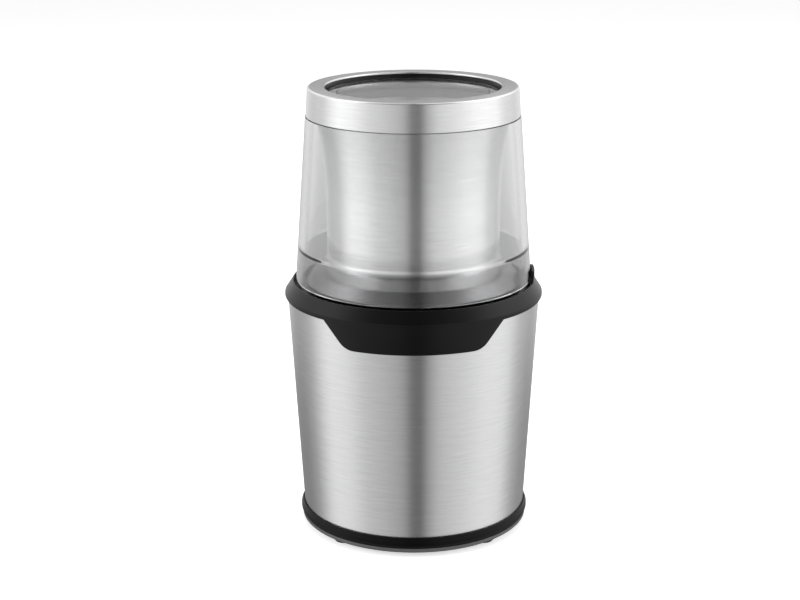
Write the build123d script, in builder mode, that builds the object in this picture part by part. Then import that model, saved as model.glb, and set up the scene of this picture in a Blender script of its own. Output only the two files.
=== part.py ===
from build123d import *
import math
import os

os.makedirs("parts", exist_ok=True)

# Electric coffee grinder with a press-down lid. Millimetres, +Z up, origin on the table
# under the middle of the base. -Y is the front, +X the side with the lid's interlock.

# Clearances
running_clearance = 0.05  # turning or sliding metal in its bush, radial
press_clearance = 0.02  # pieces pressed or cemented together, radial
fit_clearance = 0.3  # loose fit between mouldings, radial
seat_gap = 0.3  # height left under what rests loosely on another piece

# Feet, bottom cover and base ring
foot_height = 2.5
foot_radius = 6.0
foot_recess = 0.8
foot_chamfer = 0.6
foot_inset = 1.7  # edge of a foot inside the edge of the cover
foot_count = 4
foot_angle = 45.0  # first foot, from +X
cover_thickness = 2.0
cover_inset = 0.7  # how far the cover stays inside the base ring
cover_chamfer = 0.5
vent_length = 26.0
vent_width = 2.4
vent_pitch = 6.0
vent_count = 6
ring_floor = 2.2
ring_height = 5.1
ring_proud = 1.7  # base ring beyond the foot of the housing
ring_undercut = 1.0
ring_bulge_low = 1.8  # upright band of the ring, from its underside
ring_bulge_high = 3.1
ring_top_inset = 0.9
ring_groove_floor = 0.5
ring_floor_width = 8.9
ring_inner_wall = 1.6
ring_spigot_height = 7.3

# Steel housing
housing_bottom_radius = 52.2
housing_top_radius = 58.3
housing_height = 103.5
housing_wall = 0.6
housing_seat_gap = 0.8

# Black collar with its well, apron and lid guide
shelf_rise = 4.3  # shelf above the top edge of the housing
shelf_thickness = 2.5
lip_rise = 2.7  # lip above the shelf
lip_width = 0.7
collar_proud = 1.4  # collar beyond the top edge of the housing
collar_slope_drop = 5.6
collar_band = 1.8  # upright band below the slope
collar_undercut = 0.5
collar_undercut_height = 1.2
well_depth = 14.3
well_wall = 1.4
spigot_wall = 1.5
rod_channel = 4.0
apron_half_width_top = 39.0
apron_half_width_bottom = 29.5
apron_drop = 10.9  # apron below the underside of the collar
apron_step = 0.1  # apron inside the collar's edge
apron_corner = 6.0
guide_gap = 0.5  # lid guide to the lid
guide_rise = 5.5  # lid guide above the lip
guide_root_rise = 2.5
guide_embed = 1.0
guide_thickness = 1.2
guide_half_angle = 13.0
guide_top_half_angle = 8.0
collar_screw_count = 3
collar_screw_angle = 90.0  # first screw, from +X
collar_boss_radius = 2.4
collar_screw_radius = 1.1
collar_screw_depth = 9.0
collar_screw_head = 2.3
collar_screw_head_height = 1.4
screw_tip_room = 1.0  # hole beyond the tip of a screw

# Motor carrier
deck_thickness = 2.5
deck_bore = 24.0
key_count = 3
key_length = 4.5
key_width = 4.0
key_height = 3.0
key_clearance = 0.4
pillar_radius = 4.5
pillar_gap = 0.2  # pillar to the base ring's inner wall
pillar_spread = 25.0  # angle each side of the Y axis
cover_boss_radius = 5.5
base_screw_radius = 1.7
base_screw_head = 3.0
base_screw_head_height = 2.0
base_screw_length = 20.0
side_plate_inset = 13.06  # outer face of the switch's and capacitor's plates inside the deck
side_plate_thickness = 2.0
side_plate_width = 22.0
side_plate_drop = 24.5

# Motor
mount_boss_height = 1.5
mount_boss_radius = 4.5
mount_screw_inset = 7.1  # mount screws inside the side plates' outer face
mount_screw_radius = 1.5
mount_screw_head = 2.8
mount_screw_head_height = 2.5
bracket_thickness = 3.0
upper_leg = 18.0
lower_leg = 17.0
leg_radius = 3.2
tie_screw_x = 27.9
tie_screw_y = 19.9
tie_screw_radius = 1.5
tie_screw_head = 2.6
tie_screw_head_height = 2.0
stator_length = 64.0
stator_width = 48.0
stator_height = 32.0
stator_corner = 7.0
yoke_side = 5.0
yoke_inner_corner = 4.0
pole_width = 19.0
pole_shoe = 3.0
pole_shoe_half_angle = 55.0
pole_gap = 0.3  # insulation between a pole and its coil
coil_width = 5.7
coil_corner = 4.0
armature_radius = 15.6
air_gap = 0.4
armature_slot_count = 12
armature_slot_width = 1.6
armature_slot_depth = 6.0
winding_dome = 6.0
winding_radius = 13.5
winding_round = 3.0
winding_bore = 4.5
commutator_radius = 9.0
commutator_height = 8.5
commutator_gap = 1.0  # winding to commutator
commutator_bar_count = 24
commutator_slot = 0.5
commutator_slot_depth = 0.8
shaft_radius = 3.0
shaft_below_bracket = 4.5
shaft_chamfer = 0.5
bearing_radius = 6.5
bearing_height = 6.5
washer_radius = 5.0
bearing_boss_wall = 2.5
fan_radius = 26.0
fan_height = 8.0
fan_hub_radius = 7.0
fan_blade_count = 9
fan_blade_thickness = 1.2
fan_blade_inset = 0.5  # tip of a blade inside the edge of the disc
fan_disc = 1.4
fan_gap = 2.0  # above the fan
brush_width = 6.0
brush_height = 6.5
brush_length = 12.0
brush_holder_wall = 1.2
brush_gap = 0.3  # brush to commutator
brush_spring_radius = 2.0
brush_spring_wire = 0.5
brush_spring_length = 4.5

# Drive
dog_radius = 8.4
dog_hub_radius = 5.0
dog_lug_width = 3.0
dog_lug_count = 4
dog_height = 6.4
dog_lift = 1.0  # underside of the dog above the deck
dog_cap = 2.0  # dog above the end of the shaft
socket_radius = 11.5
socket_height = 10.0
socket_lift = 1.6  # underside of the socket above the deck
socket_clearance = 0.4
socket_headroom = 1.9  # recess above the dog
spindle_radius = 3.0

# Switch and interlock
press_travel = 3.0
press_reserve = 0.5  # lid to shelf when it is fully pressed
rod_radius = 1.0
rod_round = 0.5
rod_arm_height = 2.5
rod_arm_width = 5.0
rod_arm_drop = 5.5  # top of the arm under the deck
rod_arm_tip = 2.5  # arm beyond the plunger's axis
rod_flange_radius = 1.7
rod_flange_height = 1.2
spring_wire = 0.35
spring_gap = 0.2
spring_turns = 6
spring_height = 6.5
switch_width = 6.4
switch_length = 20.0
switch_height = 10.2
switch_plunger_radius = 1.4
switch_plunger_embed = 5.0
switch_plunger_round = 0.7
switch_screw_rise = 2.8
switch_screw_pitch = 9.5
switch_screw_radius = 1.1
switch_screw_head = 2.0
switch_screw_head_height = 1.4
capacitor_width = 6.5
capacitor_length = 18.0
capacitor_height = 12.0
capacitor_edge = 1.0

# Cord inlet
gland_height = 22.0
gland_bore = 3.3
gland_neck = 5.2
gland_flange = 7.5
gland_flange_depth = 2.5
gland_round = 1.25
gland_wall_gap = 0.15
gland_inner_flange = 1.5
gland_tail_radius = 4.6
gland_tail = 8.0
clamp_gap = 4.3  # clamp bar to the tail of the gland
clamp_post_spread = 16.0
clamp_post_radius = 3.0
clamp_post_height = 7.5
clamp_bar_length = 23.0
clamp_bar_width = 7.0
clamp_bar_thickness = 3.5
clamp_groove = 2.4
clamp_screw_radius = 1.2
clamp_screw_head = 2.3
clamp_screw_head_height = 1.5

# Bowl
well_clearance = 0.4
skirt_height = 8.5
skirt_lift = 1.7  # bottom of the skirt above the shelf
skirt_round = 1.2
bowl_wall = 0.8
ledge_width = 9.9  # from the foot of the cup to the skirt
cup_cove = 4.0
cup_straight = 24.5  # nearly upright part of the cup
cup_straight_taper = 0.3
cup_floor_rise = 2.5  # cup's floor above the ledge
cup_inner_corner = 3.0
rim_bead = 0.6
rim_clearance = 0.7
bowl_base_wall = 2.5
bowl_base_plate = 2.5
floor_support_inset = 4.6  # boss under the cup's floor inside the foot of the cup
cup_floor_edge = 1.2
bushing_radius = 6.3
bushing_flange = 9.0
bushing_flange_height = 1.2
bushing_tail = 11.5  # bushing below the ledge
bushing_nut_size = 17.0  # across the flats
nut_sides = 6
bushing_nut_height = 3.0
bushing_boss_wall = 3.7
shaft_seal_radius = 6.5
shaft_seal_height = 1.8
shaft_seal_chamfer = 0.6

# Blade
blade_span = 62.0
blade_width = 11.0
blade_thickness = 1.6
blade_rise = 5.0  # blade above the cup's floor
blade_flat = 18.0
blade_high_tip = 8.0
blade_low_tip = 3.5
blade_nut_radius = 5.5
blade_nut_height = 5.5
blade_spacer_radius = 5.0
blade_nut_cap = 2.0  # closed end of the nut over the spindle
blade_nut_round = 1.0

# Lid
lid_gap = 0.9  # lid to the collar's lip
lid_height = 83.8
lid_taper = 5.5
lid_wall = 3.0
lid_foot_wall = 1.9
lid_foot_height = 15.2
lid_top_thickness = 2.2
window_rise = 2.3  # middle of the clear top above its shoulder
lid_shoulder_height = 8.3
lid_top_chamfer = 0.8
seal_height = 1.3
seal_lip = 0.8
seal_lip_drop = 2.3
seal_clearance = 0.35
seal_lip_gap = 0.7

# Steel cap on the lid
cap_height = 13.0
cap_taper = 0.9
cap_wall = 0.8
cap_edge = 1.0
cap_inset = 0.2  # cap inside the clear wall below it
cap_ring_width = 7.9
cap_hem = 1.8
cap_hole_edge = 1.2  # rolled edge of the hole
window_step = 3.3  # pocket under the window inside the hole of the cap
liner_wall_gap = 0.6

# Heights that follow from the sizes above
cover_bottom = foot_height
cover_top = cover_bottom + cover_thickness
ring_floor_top = cover_top + ring_floor
ring_top = cover_top + ring_height
housing_bottom = ring_floor_top + housing_seat_gap
housing_top = housing_bottom + housing_height
shelf_top = housing_top + shelf_rise
shelf_bottom = shelf_top - shelf_thickness
lip_top = shelf_top + lip_rise
slope_bottom = lip_top - collar_slope_drop
collar_bottom = slope_bottom - collar_band - collar_undercut_height
apron_bottom = collar_bottom - apron_drop
deck_top = shelf_top - well_depth
deck_bottom = deck_top - deck_thickness
ledge_top = shelf_top + skirt_lift + skirt_height
skirt_bottom = shelf_top + skirt_lift
lid_bottom = shelf_top + press_travel + press_reserve
lid_top = lid_bottom + lid_height
lid_step = lid_bottom + lid_foot_height
cap_bottom = lid_top - lid_shoulder_height + cap_inset
cap_top = cap_bottom + cap_height
rim_top = lid_top - lid_top_thickness - press_travel - seal_height - 2 * seat_gap


def housing_radius(height):
    """Outer radius of the tapered steel wall at a height above the table."""
    share = (height - housing_bottom) / housing_height
    return housing_bottom_radius + share * (housing_top_radius - housing_bottom_radius)


# Radii that follow, from the steel wall inwards
ring_radius = housing_bottom_radius + ring_proud
collar_radius = housing_top_radius + collar_proud
spigot_radius = housing_radius(deck_top) - housing_wall - fit_clearance
lip_inner = spigot_radius - spigot_wall
well_outer = lip_inner - rod_channel
well_radius = well_outer - well_wall
skirt_radius = well_radius - well_clearance
rod_x = (lip_inner + well_outer) / 2
lid_bottom_radius = lip_inner - lid_gap
lid_top_radius = lid_bottom_radius - lid_taper
cap_bottom_radius = lid_top_radius - cap_inset
cap_top_radius = cap_bottom_radius - cap_taper
cap_hole_radius = cap_top_radius - cap_ring_width
window_radius = cap_hole_radius - window_step
liner_inner = cap_hole_radius - liner_wall_gap
cup_bottom_radius = skirt_radius - ledge_width
floor_support_radius = cup_bottom_radius - floor_support_inset
deck_radius = housing_radius(deck_bottom) - housing_wall - fit_clearance
side_plate_x = deck_radius - side_plate_inset
mount_screw_x = side_plate_x - mount_screw_inset
cover_radius = ring_radius - cover_inset
foot_circle = cover_radius - foot_inset - foot_radius
spigot_outer = housing_bottom_radius - housing_wall - fit_clearance
pillar_circle = spigot_outer - ring_inner_wall - pillar_gap - pillar_radius


def lid_radius(height):
    """Outer radius of the clear wall at a height above the table."""
    share = (height - lid_bottom) / (lid_height - lid_shoulder_height)
    return lid_bottom_radius - share * lid_taper


def cap_radius(height):
    """Outer radius of the steel cap at a height above the table."""
    return cap_bottom_radius - cap_taper * (height - cap_bottom) / cap_height


def radial_plane(angle):
    """Upright plane through the Z axis whose first direction points out at an angle from +X."""
    turn = math.radians(angle)
    return Plane(
        origin=(0, 0, 0),
        x_dir=(math.cos(turn), math.sin(turn), 0),
        z_dir=(math.sin(turn), -math.cos(turn), 0),
    )


rim_radius = lid_radius(rim_top) - lid_wall - rim_clearance - rim_bead

# Switch heights, downwards from the deck through the rod's arm
arm_top = deck_bottom - rod_arm_drop
arm_bottom = arm_top - rod_arm_height
plunger_top = arm_bottom - seat_gap
switch_top = plunger_top - press_travel - seat_gap
switch_bottom = switch_top - switch_height
switch_x = side_plate_x + switch_width / 2
switch_screw_height = switch_bottom + switch_screw_rise

# Cord gland through the wall and the clamp before it, along +Y
gland_wall_low = housing_radius(gland_height - gland_flange) - housing_wall
gland_outer_start = housing_radius(gland_height + gland_flange) + gland_wall_gap
gland_outer_end = gland_outer_start + gland_flange_depth
gland_inner_end = math.sqrt(gland_wall_low**2 - gland_flange**2) - gland_wall_gap
gland_inner_start = gland_inner_end - gland_inner_flange
gland_start = gland_inner_start - gland_tail
clamp_y = gland_start - clamp_gap - clamp_bar_width / 2

# Screw places
pillar_x = pillar_circle * math.sin(math.radians(pillar_spread))
pillar_y = pillar_circle * math.cos(math.radians(pillar_spread))
pillar_points = [(x, y) for x in (-pillar_x, pillar_x) for y in (-pillar_y, pillar_y)]
tie_points = [(x, y) for x in (-tie_screw_x, tie_screw_x) for y in (-tie_screw_y, tie_screw_y)]
mount_points = [(-mount_screw_x, 0), (mount_screw_x, 0)]
switch_screw_points = [
    (-switch_screw_pitch / 2, switch_screw_height),
    (switch_screw_pitch / 2, switch_screw_height),
]
clamp_points = [(-clamp_post_spread / 2, clamp_y), (clamp_post_spread / 2, clamp_y)]

# Rubber feet, sunk into the bottom cover
with BuildPart() as feet:
    with BuildSketch():
        with PolarLocations(foot_circle, foot_count, start_angle=foot_angle):
            Circle(foot_radius)
    extrude(amount=foot_height + foot_recess)
    chamfer(feet.edges().group_by(Axis.Z)[0], foot_chamfer)
feet.part.label = "feet"
export_step(feet.part, "parts/feet.step")

# Bottom cover with foot recesses, screw bosses, cord clamp posts and air slots
screw_seat = cover_bottom + base_screw_head_height + seat_gap
with BuildPart() as bottom_cover:
    with BuildSketch(Plane.XY.offset(cover_bottom)):
        Circle(cover_radius)
    extrude(amount=cover_thickness)
    chamfer(bottom_cover.edges().group_by(Axis.Z)[0], cover_chamfer)
    with BuildSketch(Plane.XY.offset(cover_top)):
        with Locations(*pillar_points):
            Circle(cover_boss_radius)
    extrude(amount=ring_floor)
    with BuildSketch(Plane.XY.offset(cover_top)):
        with Locations(*clamp_points):
            Circle(clamp_post_radius)
    extrude(amount=clamp_post_height)
    with BuildSketch(Plane.XY.offset(cover_bottom)):
        with PolarLocations(foot_circle, foot_count, start_angle=foot_angle):
            Circle(foot_radius + press_clearance)
    extrude(amount=foot_recess, mode=Mode.SUBTRACT)
    with BuildSketch(Plane.XY.offset(cover_bottom)):
        with Locations(*pillar_points):
            Circle(base_screw_head + fit_clearance)
    extrude(amount=screw_seat - cover_bottom, mode=Mode.SUBTRACT)
    with BuildSketch(Plane.XY.offset(cover_bottom)):
        with Locations(*pillar_points):
            Circle(base_screw_radius + fit_clearance)
        with GridLocations(0, vent_pitch, 1, vent_count):
            SlotOverall(vent_length, vent_width)
    extrude(amount=cover_thickness + ring_floor, mode=Mode.SUBTRACT)
    with BuildSketch(Plane.XY.offset(cover_top + screw_tip_room)):
        with Locations(*clamp_points):
            Circle(clamp_screw_radius)
    extrude(amount=clamp_post_height - screw_tip_room, mode=Mode.SUBTRACT)
bottom_cover.part.label = "bottom_cover"
export_step(bottom_cover.part, "parts/bottom_cover.step")

# Base ring: a black tray whose groove holds the foot of the steel wall
groove_outer = housing_radius(ring_top) + fit_clearance
with BuildPart() as base_ring:
    with BuildSketch(Plane.XZ):
        with BuildLine():
            Polyline(
                (ring_radius - ring_floor_width, cover_top),
                (ring_radius - ring_undercut, cover_top),
                (ring_radius, cover_top + ring_bulge_low),
                (ring_radius, cover_top + ring_bulge_high),
                (ring_radius - ring_top_inset, ring_top),
                (groove_outer, ring_top),
                (groove_outer, ring_floor_top + ring_groove_floor),
                (spigot_outer, ring_floor_top + ring_groove_floor),
                (spigot_outer, ring_floor_top + ring_spigot_height),
                (spigot_outer - ring_inner_wall, ring_floor_top + ring_spigot_height),
                (spigot_outer - ring_inner_wall, ring_floor_top),
                (ring_radius - ring_floor_width, ring_floor_top),
                close=True,
            )
        make_face()
    revolve(axis=Axis.Z)
    with BuildSketch(Plane.XY.offset(cover_top)):
        with Locations(*pillar_points):
            Circle(cover_boss_radius + fit_clearance)
    extrude(amount=ring_floor, mode=Mode.SUBTRACT)
base_ring.part.label = "base_ring"
export_step(base_ring.part, "parts/base_ring.step")

# Steel housing: a tapered tube with a notch at the back that the cord gland fills
notch_top = gland_height + gland_neck + press_clearance
with BuildPart() as housing_shell:
    with BuildSketch(Plane.XZ):
        with BuildLine():
            Polyline(
                (housing_bottom_radius, housing_bottom),
                (housing_top_radius, housing_top),
                (housing_top_radius - housing_wall, housing_top),
                (housing_bottom_radius - housing_wall, housing_bottom),
                close=True,
            )
        make_face()
    revolve(axis=Axis.Z)
    with BuildSketch(Plane.XZ):
        with Locations((0, (housing_bottom + notch_top) / 2)):
            Rectangle(2 * (gland_neck + press_clearance), notch_top - housing_bottom)
    extrude(amount=-ring_radius - gland_flange_depth, mode=Mode.SUBTRACT)
housing_shell.part.label = "housing_shell"
export_step(housing_shell.part, "parts/housing_shell.step")

# Apron that laps over the front of the steel wall, cut to a trapezoid seen from the front
apron_top = collar_bottom + collar_undercut_height
with BuildPart() as apron:
    with BuildSketch(Plane.XZ):
        with BuildLine():
            Polyline(
                (housing_radius(apron_bottom) + fit_clearance, apron_bottom),
                (housing_radius(apron_bottom) + collar_proud - apron_step, apron_bottom),
                (housing_radius(apron_top) + collar_proud - apron_step, apron_top),
                (housing_radius(apron_top) + fit_clearance, apron_top),
                close=True,
            )
        make_face()
    revolve(axis=Axis.Z)
    with BuildSketch(Plane.XZ) as apron_outline:
        with BuildLine():
            Polyline(
                (-apron_half_width_top, apron_top),
                (-apron_half_width_bottom, apron_bottom),
                (apron_half_width_bottom, apron_bottom),
                (apron_half_width_top, apron_top),
                close=True,
            )
        make_face()
        fillet(apron_outline.vertices().group_by(Axis.Y)[0], apron_corner)
    extrude(amount=collar_radius, mode=Mode.INTERSECT)

# Black collar: sloping top, shelf under the lid, well for the bowl, apron and lid guide
groove_top = housing_top + seat_gap
guide_inner = lid_bottom_radius + guide_gap
guide_steps = ((guide_top_half_angle, guide_rise), (guide_half_angle, guide_root_rise))
with BuildPart() as collar:
    with BuildSketch(Plane.XZ):
        with BuildLine():
            Polyline(
                (well_radius, deck_top),
                (well_radius, shelf_top),
                (lip_inner, shelf_top),
                (lip_inner, lip_top),
                (lip_inner + lip_width, lip_top),
                (collar_radius, slope_bottom),
                (collar_radius, slope_bottom - collar_band),
                (collar_radius - collar_undercut, collar_bottom),
                (housing_top_radius + fit_clearance, collar_bottom),
                (housing_top_radius + fit_clearance, groove_top),
                (spigot_radius, groove_top),
                (spigot_radius, deck_top),
                (lip_inner, deck_top),
                (lip_inner, shelf_bottom),
                (well_outer, shelf_bottom),
                (well_outer, deck_top),
                close=True,
            )
        make_face()
    revolve(axis=Axis.Z)
    add(apron.part)
    for half_angle, rise in guide_steps:
        with BuildSketch(radial_plane(-half_angle)):
            with BuildLine():
                Polyline(
                    (guide_inner, lip_top - guide_embed),
                    (guide_inner, lip_top + rise),
                    (guide_inner + guide_thickness, lip_top + rise),
                    (guide_inner + guide_thickness, lip_top - guide_embed),
                    close=True,
                )
            make_face()
        revolve(axis=Axis.Z, revolution_arc=2 * half_angle)
    with BuildSketch(Plane.XY.offset(deck_top)):
        with PolarLocations(rod_x, collar_screw_count, start_angle=collar_screw_angle):
            Circle(collar_boss_radius)
    extrude(amount=shelf_bottom - deck_top)
    with BuildSketch(Plane.XY.offset(deck_top)):
        with PolarLocations(rod_x, collar_screw_count, start_angle=collar_screw_angle):
            Circle(collar_screw_radius + press_clearance)
    extrude(amount=collar_screw_depth + screw_tip_room, mode=Mode.SUBTRACT)
    with BuildSketch(Plane.XY.offset(shelf_bottom)):
        with Locations((rod_x, 0)):
            Circle(rod_radius + running_clearance)
    extrude(amount=shelf_thickness, mode=Mode.SUBTRACT)
collar.part.label = "collar"
export_step(collar.part, "parts/collar.step")

# Motor carrier: deck under the bowl, four pillars and the side plates for the switch
bracket_top = deck_bottom - mount_boss_height
bracket_bottom = bracket_top - bracket_thickness
pillar_bottom = ring_floor_top
key_circle = well_radius - fit_clearance - key_length / 2
with BuildPart() as motor_carrier:
    with BuildSketch(Plane.XY.offset(deck_bottom)):
        Circle(deck_radius)
        Circle(deck_bore / 2, mode=Mode.SUBTRACT)
    extrude(amount=deck_thickness)
    with BuildSketch(Plane.XY.offset(deck_top)):
        with PolarLocations(key_circle, key_count):
            Rectangle(key_length, key_width)
    extrude(amount=key_height)
    with BuildSketch(Plane.XY.offset(pillar_bottom)):
        with Locations(*pillar_points):
            Circle(pillar_radius)
    extrude(amount=deck_bottom - pillar_bottom)
    with BuildSketch(Plane.XY.offset(bracket_top)):
        with Locations(*mount_points):
            Circle(mount_boss_radius)
    extrude(amount=mount_boss_height)
    with BuildSketch(Plane.XY.offset(deck_bottom - side_plate_drop)):
        with GridLocations(2 * side_plate_x - side_plate_thickness, 0, 2, 1):
            Rectangle(side_plate_thickness, side_plate_width)
    extrude(amount=side_plate_drop)
    with BuildSketch(Plane.XY.offset(pillar_bottom)):
        with Locations(*pillar_points):
            Circle(base_screw_radius + press_clearance)
    extrude(amount=base_screw_length, mode=Mode.SUBTRACT)
    with BuildSketch(Plane.YZ.offset(side_plate_x - side_plate_thickness)):
        with Locations(*switch_screw_points):
            Circle(switch_screw_radius + press_clearance)
    extrude(amount=side_plate_thickness, mode=Mode.SUBTRACT)
    with BuildSketch(Plane.XY.offset(bracket_top)):
        with Locations(*mount_points):
            Circle(mount_screw_radius + press_clearance)
    extrude(amount=mount_boss_height + deck_thickness, mode=Mode.SUBTRACT)
    with BuildSketch(Plane.XY.offset(deck_bottom)):
        with PolarLocations(rod_x, collar_screw_count, start_angle=collar_screw_angle):
            Circle(collar_screw_radius + press_clearance)
        with Locations((rod_x, 0)):
            Circle(rod_radius + running_clearance)
    extrude(amount=deck_thickness, mode=Mode.SUBTRACT)
motor_carrier.part.label = "motor_carrier"
export_step(motor_carrier.part, "parts/motor_carrier.step")

# Screws through the bottom cover into the pillars
shank_top = pillar_bottom + base_screw_length - screw_tip_room
with BuildPart() as base_screws:
    with BuildSketch(Plane.XY.offset(screw_seat - base_screw_head_height)):
        with Locations(*pillar_points):
            Circle(base_screw_head)
    extrude(amount=base_screw_head_height)
    with BuildSketch(Plane.XY.offset(screw_seat)):
        with Locations(*pillar_points):
            Circle(base_screw_radius)
    extrude(amount=shank_top - screw_seat)
base_screws.part.label = "base_screws"
export_step(base_screws.part, "parts/base_screws.step")

# Screws up through the deck into the collar
with BuildPart() as collar_screws:
    with BuildSketch(Plane.XY.offset(deck_bottom - collar_screw_head_height)):
        with PolarLocations(rod_x, collar_screw_count, start_angle=collar_screw_angle):
            Circle(collar_screw_head)
    extrude(amount=collar_screw_head_height)
    with BuildSketch(Plane.XY.offset(deck_bottom)):
        with PolarLocations(rod_x, collar_screw_count, start_angle=collar_screw_angle):
            Circle(collar_screw_radius)
    extrude(amount=deck_thickness + collar_screw_depth)
collar_screws.part.label = "collar_screws"
export_step(collar_screws.part, "parts/collar_screws.step")

# Screws that hold the motor under the deck
with BuildPart() as mount_screws:
    with BuildSketch(Plane.XY.offset(bracket_bottom - mount_screw_head_height)):
        with Locations(*mount_points):
            Circle(mount_screw_head)
    extrude(amount=mount_screw_head_height)
    with BuildSketch(Plane.XY.offset(bracket_bottom)):
        with Locations(*mount_points):
            Circle(mount_screw_radius)
    extrude(amount=deck_top - bracket_bottom - screw_tip_room)
mount_screws.part.label = "mount_screws"
export_step(mount_screws.part, "parts/mount_screws.step")

# Motor heights, downwards from the deck
stator_top = bracket_bottom - upper_leg
stator_bottom = stator_top - stator_height
lower_top = stator_bottom - lower_leg
lower_bottom = lower_top - bracket_thickness
bearing_hole = bearing_radius + press_clearance
bearing_boss = bearing_radius + bearing_boss_wall
lower_bearing_bottom = lower_top - bearing_height

# Upper motor bracket with its four legs and bearing boss
with BuildPart() as upper_bracket:
    with BuildSketch(Plane.XY.offset(bracket_bottom)):
        RectangleRounded(stator_length, stator_width, stator_corner)
        SlotCenterToCenter(2 * mount_screw_x, 2 * mount_boss_radius)
    extrude(amount=bracket_thickness)
    with BuildSketch(Plane.XY.offset(stator_top)):
        with Locations(*tie_points):
            Circle(leg_radius)
    extrude(amount=upper_leg)
    with BuildSketch(Plane.XY.offset(bracket_bottom)):
        Circle(bearing_boss)
    extrude(amount=bearing_height)
    with BuildSketch(Plane.XY.offset(bracket_bottom)):
        Circle(bearing_hole)
        with Locations(*mount_points):
            Circle(mount_screw_radius + press_clearance)
    extrude(amount=bearing_height, mode=Mode.SUBTRACT)
    with BuildSketch(Plane.XY.offset(stator_top)):
        with Locations(*tie_points):
            Circle(tie_screw_radius + press_clearance)
    extrude(amount=upper_leg + bracket_thickness, mode=Mode.SUBTRACT)
upper_bracket.part.label = "upper_bracket"
export_step(upper_bracket.part, "parts/upper_bracket.step")

# Lower motor bracket with its four legs and bearing boss
with BuildPart() as lower_bracket:
    with BuildSketch(Plane.XY.offset(lower_bottom)):
        RectangleRounded(stator_length, stator_width, stator_corner)
    extrude(amount=bracket_thickness)
    with BuildSketch(Plane.XY.offset(lower_top)):
        with Locations(*tie_points):
            Circle(leg_radius)
    extrude(amount=lower_leg)
    with BuildSketch(Plane.XY.offset(lower_bearing_bottom)):
        Circle(bearing_boss)
    extrude(amount=bearing_height)
    with BuildSketch(Plane.XY.offset(lower_bearing_bottom)):
        Circle(bearing_hole)
    extrude(amount=bearing_height, mode=Mode.SUBTRACT)
    with BuildSketch(Plane.XY.offset(lower_bottom)):
        with Locations(*tie_points):
            Circle(tie_screw_radius + press_clearance)
    extrude(amount=lower_leg + bracket_thickness, mode=Mode.SUBTRACT)
lower_bracket.part.label = "lower_bracket"
export_step(lower_bracket.part, "parts/lower_bracket.step")

# Long screws through both brackets and the stator
with BuildPart() as tie_screws:
    with BuildSketch(Plane.XY.offset(lower_bottom - tie_screw_head_height)):
        with Locations(*tie_points):
            Circle(tie_screw_head)
    extrude(amount=tie_screw_head_height)
    with BuildSketch(Plane.XY.offset(lower_bottom)):
        with Locations(*tie_points):
            Circle(tie_screw_radius)
    extrude(amount=bracket_top - lower_bottom)
tie_screws.part.label = "tie_screws"
export_step(tie_screws.part, "parts/tie_screws.step")

# Sleeve bearing at the top of the shaft
with BuildPart() as upper_bearing:
    with BuildSketch(Plane.XY.offset(bracket_bottom)):
        Circle(bearing_radius)
        Circle(shaft_radius + running_clearance, mode=Mode.SUBTRACT)
    extrude(amount=bearing_height)
upper_bearing.part.label = "upper_bearing"
export_step(upper_bearing.part, "parts/upper_bearing.step")

# Sleeve bearing at the foot of the shaft
with BuildPart() as lower_bearing:
    with BuildSketch(Plane.XY.offset(lower_bearing_bottom)):
        Circle(bearing_radius)
        Circle(shaft_radius + running_clearance, mode=Mode.SUBTRACT)
    extrude(amount=bearing_height)
lower_bearing.part.label = "lower_bearing"
export_step(lower_bearing.part, "parts/lower_bearing.step")

# Stator: a yoke with two poles, cut round the armature
stator_bore = armature_radius + air_gap
shoe_radius = stator_bore + pole_shoe
yoke_inner_length = stator_length - 2 * yoke_side
yoke_inner_width = stator_width - 2 * yoke_side
slot_half_width = shoe_radius * math.cos(math.radians(pole_shoe_half_angle))
with BuildPart() as stator_core:
    with BuildSketch(Plane.XY.offset(stator_bottom)):
        RectangleRounded(stator_length, stator_width, stator_corner)
        RectangleRounded(yoke_inner_length, yoke_inner_width, yoke_inner_corner, mode=Mode.SUBTRACT)
        with Locations(*tie_points):
            Circle(tie_screw_radius + press_clearance, mode=Mode.SUBTRACT)
    extrude(amount=stator_height)
    with BuildSketch(Plane.XY.offset(stator_bottom)):
        Circle(shoe_radius)
        Rectangle(2 * slot_half_width, 2 * shoe_radius, mode=Mode.SUBTRACT)
        Rectangle(yoke_inner_length + yoke_side, pole_width)
        Circle(stator_bore, mode=Mode.SUBTRACT)
    extrude(amount=stator_height)
stator_core.part.label = "stator_core"
export_step(stator_core.part, "parts/stator_core.step")

# Field coils round the two poles
coil_inner_x = shoe_radius + pole_gap
coil_outer_x = yoke_inner_length / 2 - pole_gap
coil_opening_width = pole_width + 2 * pole_gap
coil_opening_height = stator_height + 2 * pole_gap
coil_mid_height = (stator_top + stator_bottom) / 2
coil_planes = (Plane.YZ.offset(coil_inner_x), Plane.YZ.offset(-coil_outer_x))
with BuildPart() as field_coils:
    for coil_plane in coil_planes:
        with BuildSketch(coil_plane):
            with Locations((0, coil_mid_height)):
                RectangleRounded(
                    coil_opening_width + 2 * coil_width, coil_opening_height + 2 * coil_width, coil_corner
                )
                Rectangle(coil_opening_width, coil_opening_height, mode=Mode.SUBTRACT)
        extrude(amount=coil_outer_x - coil_inner_x)
field_coils.part.label = "field_coils"
export_step(field_coils.part, "parts/field_coils.step")

# Motor shaft
shaft_bottom = lower_bottom - shaft_below_bracket
dog_bottom = deck_top + dog_lift
dog_top = dog_bottom + dog_height
shaft_top = dog_top - dog_cap
pressed_bore = shaft_radius + press_clearance
with BuildPart() as motor_shaft:
    with BuildSketch(Plane.XY.offset(shaft_bottom)):
        Circle(shaft_radius)
    extrude(amount=shaft_top - shaft_bottom)
    chamfer(motor_shaft.edges().group_by(Axis.Z)[0], shaft_chamfer)
motor_shaft.part.label = "motor_shaft"
export_step(motor_shaft.part, "parts/motor_shaft.step")

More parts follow.
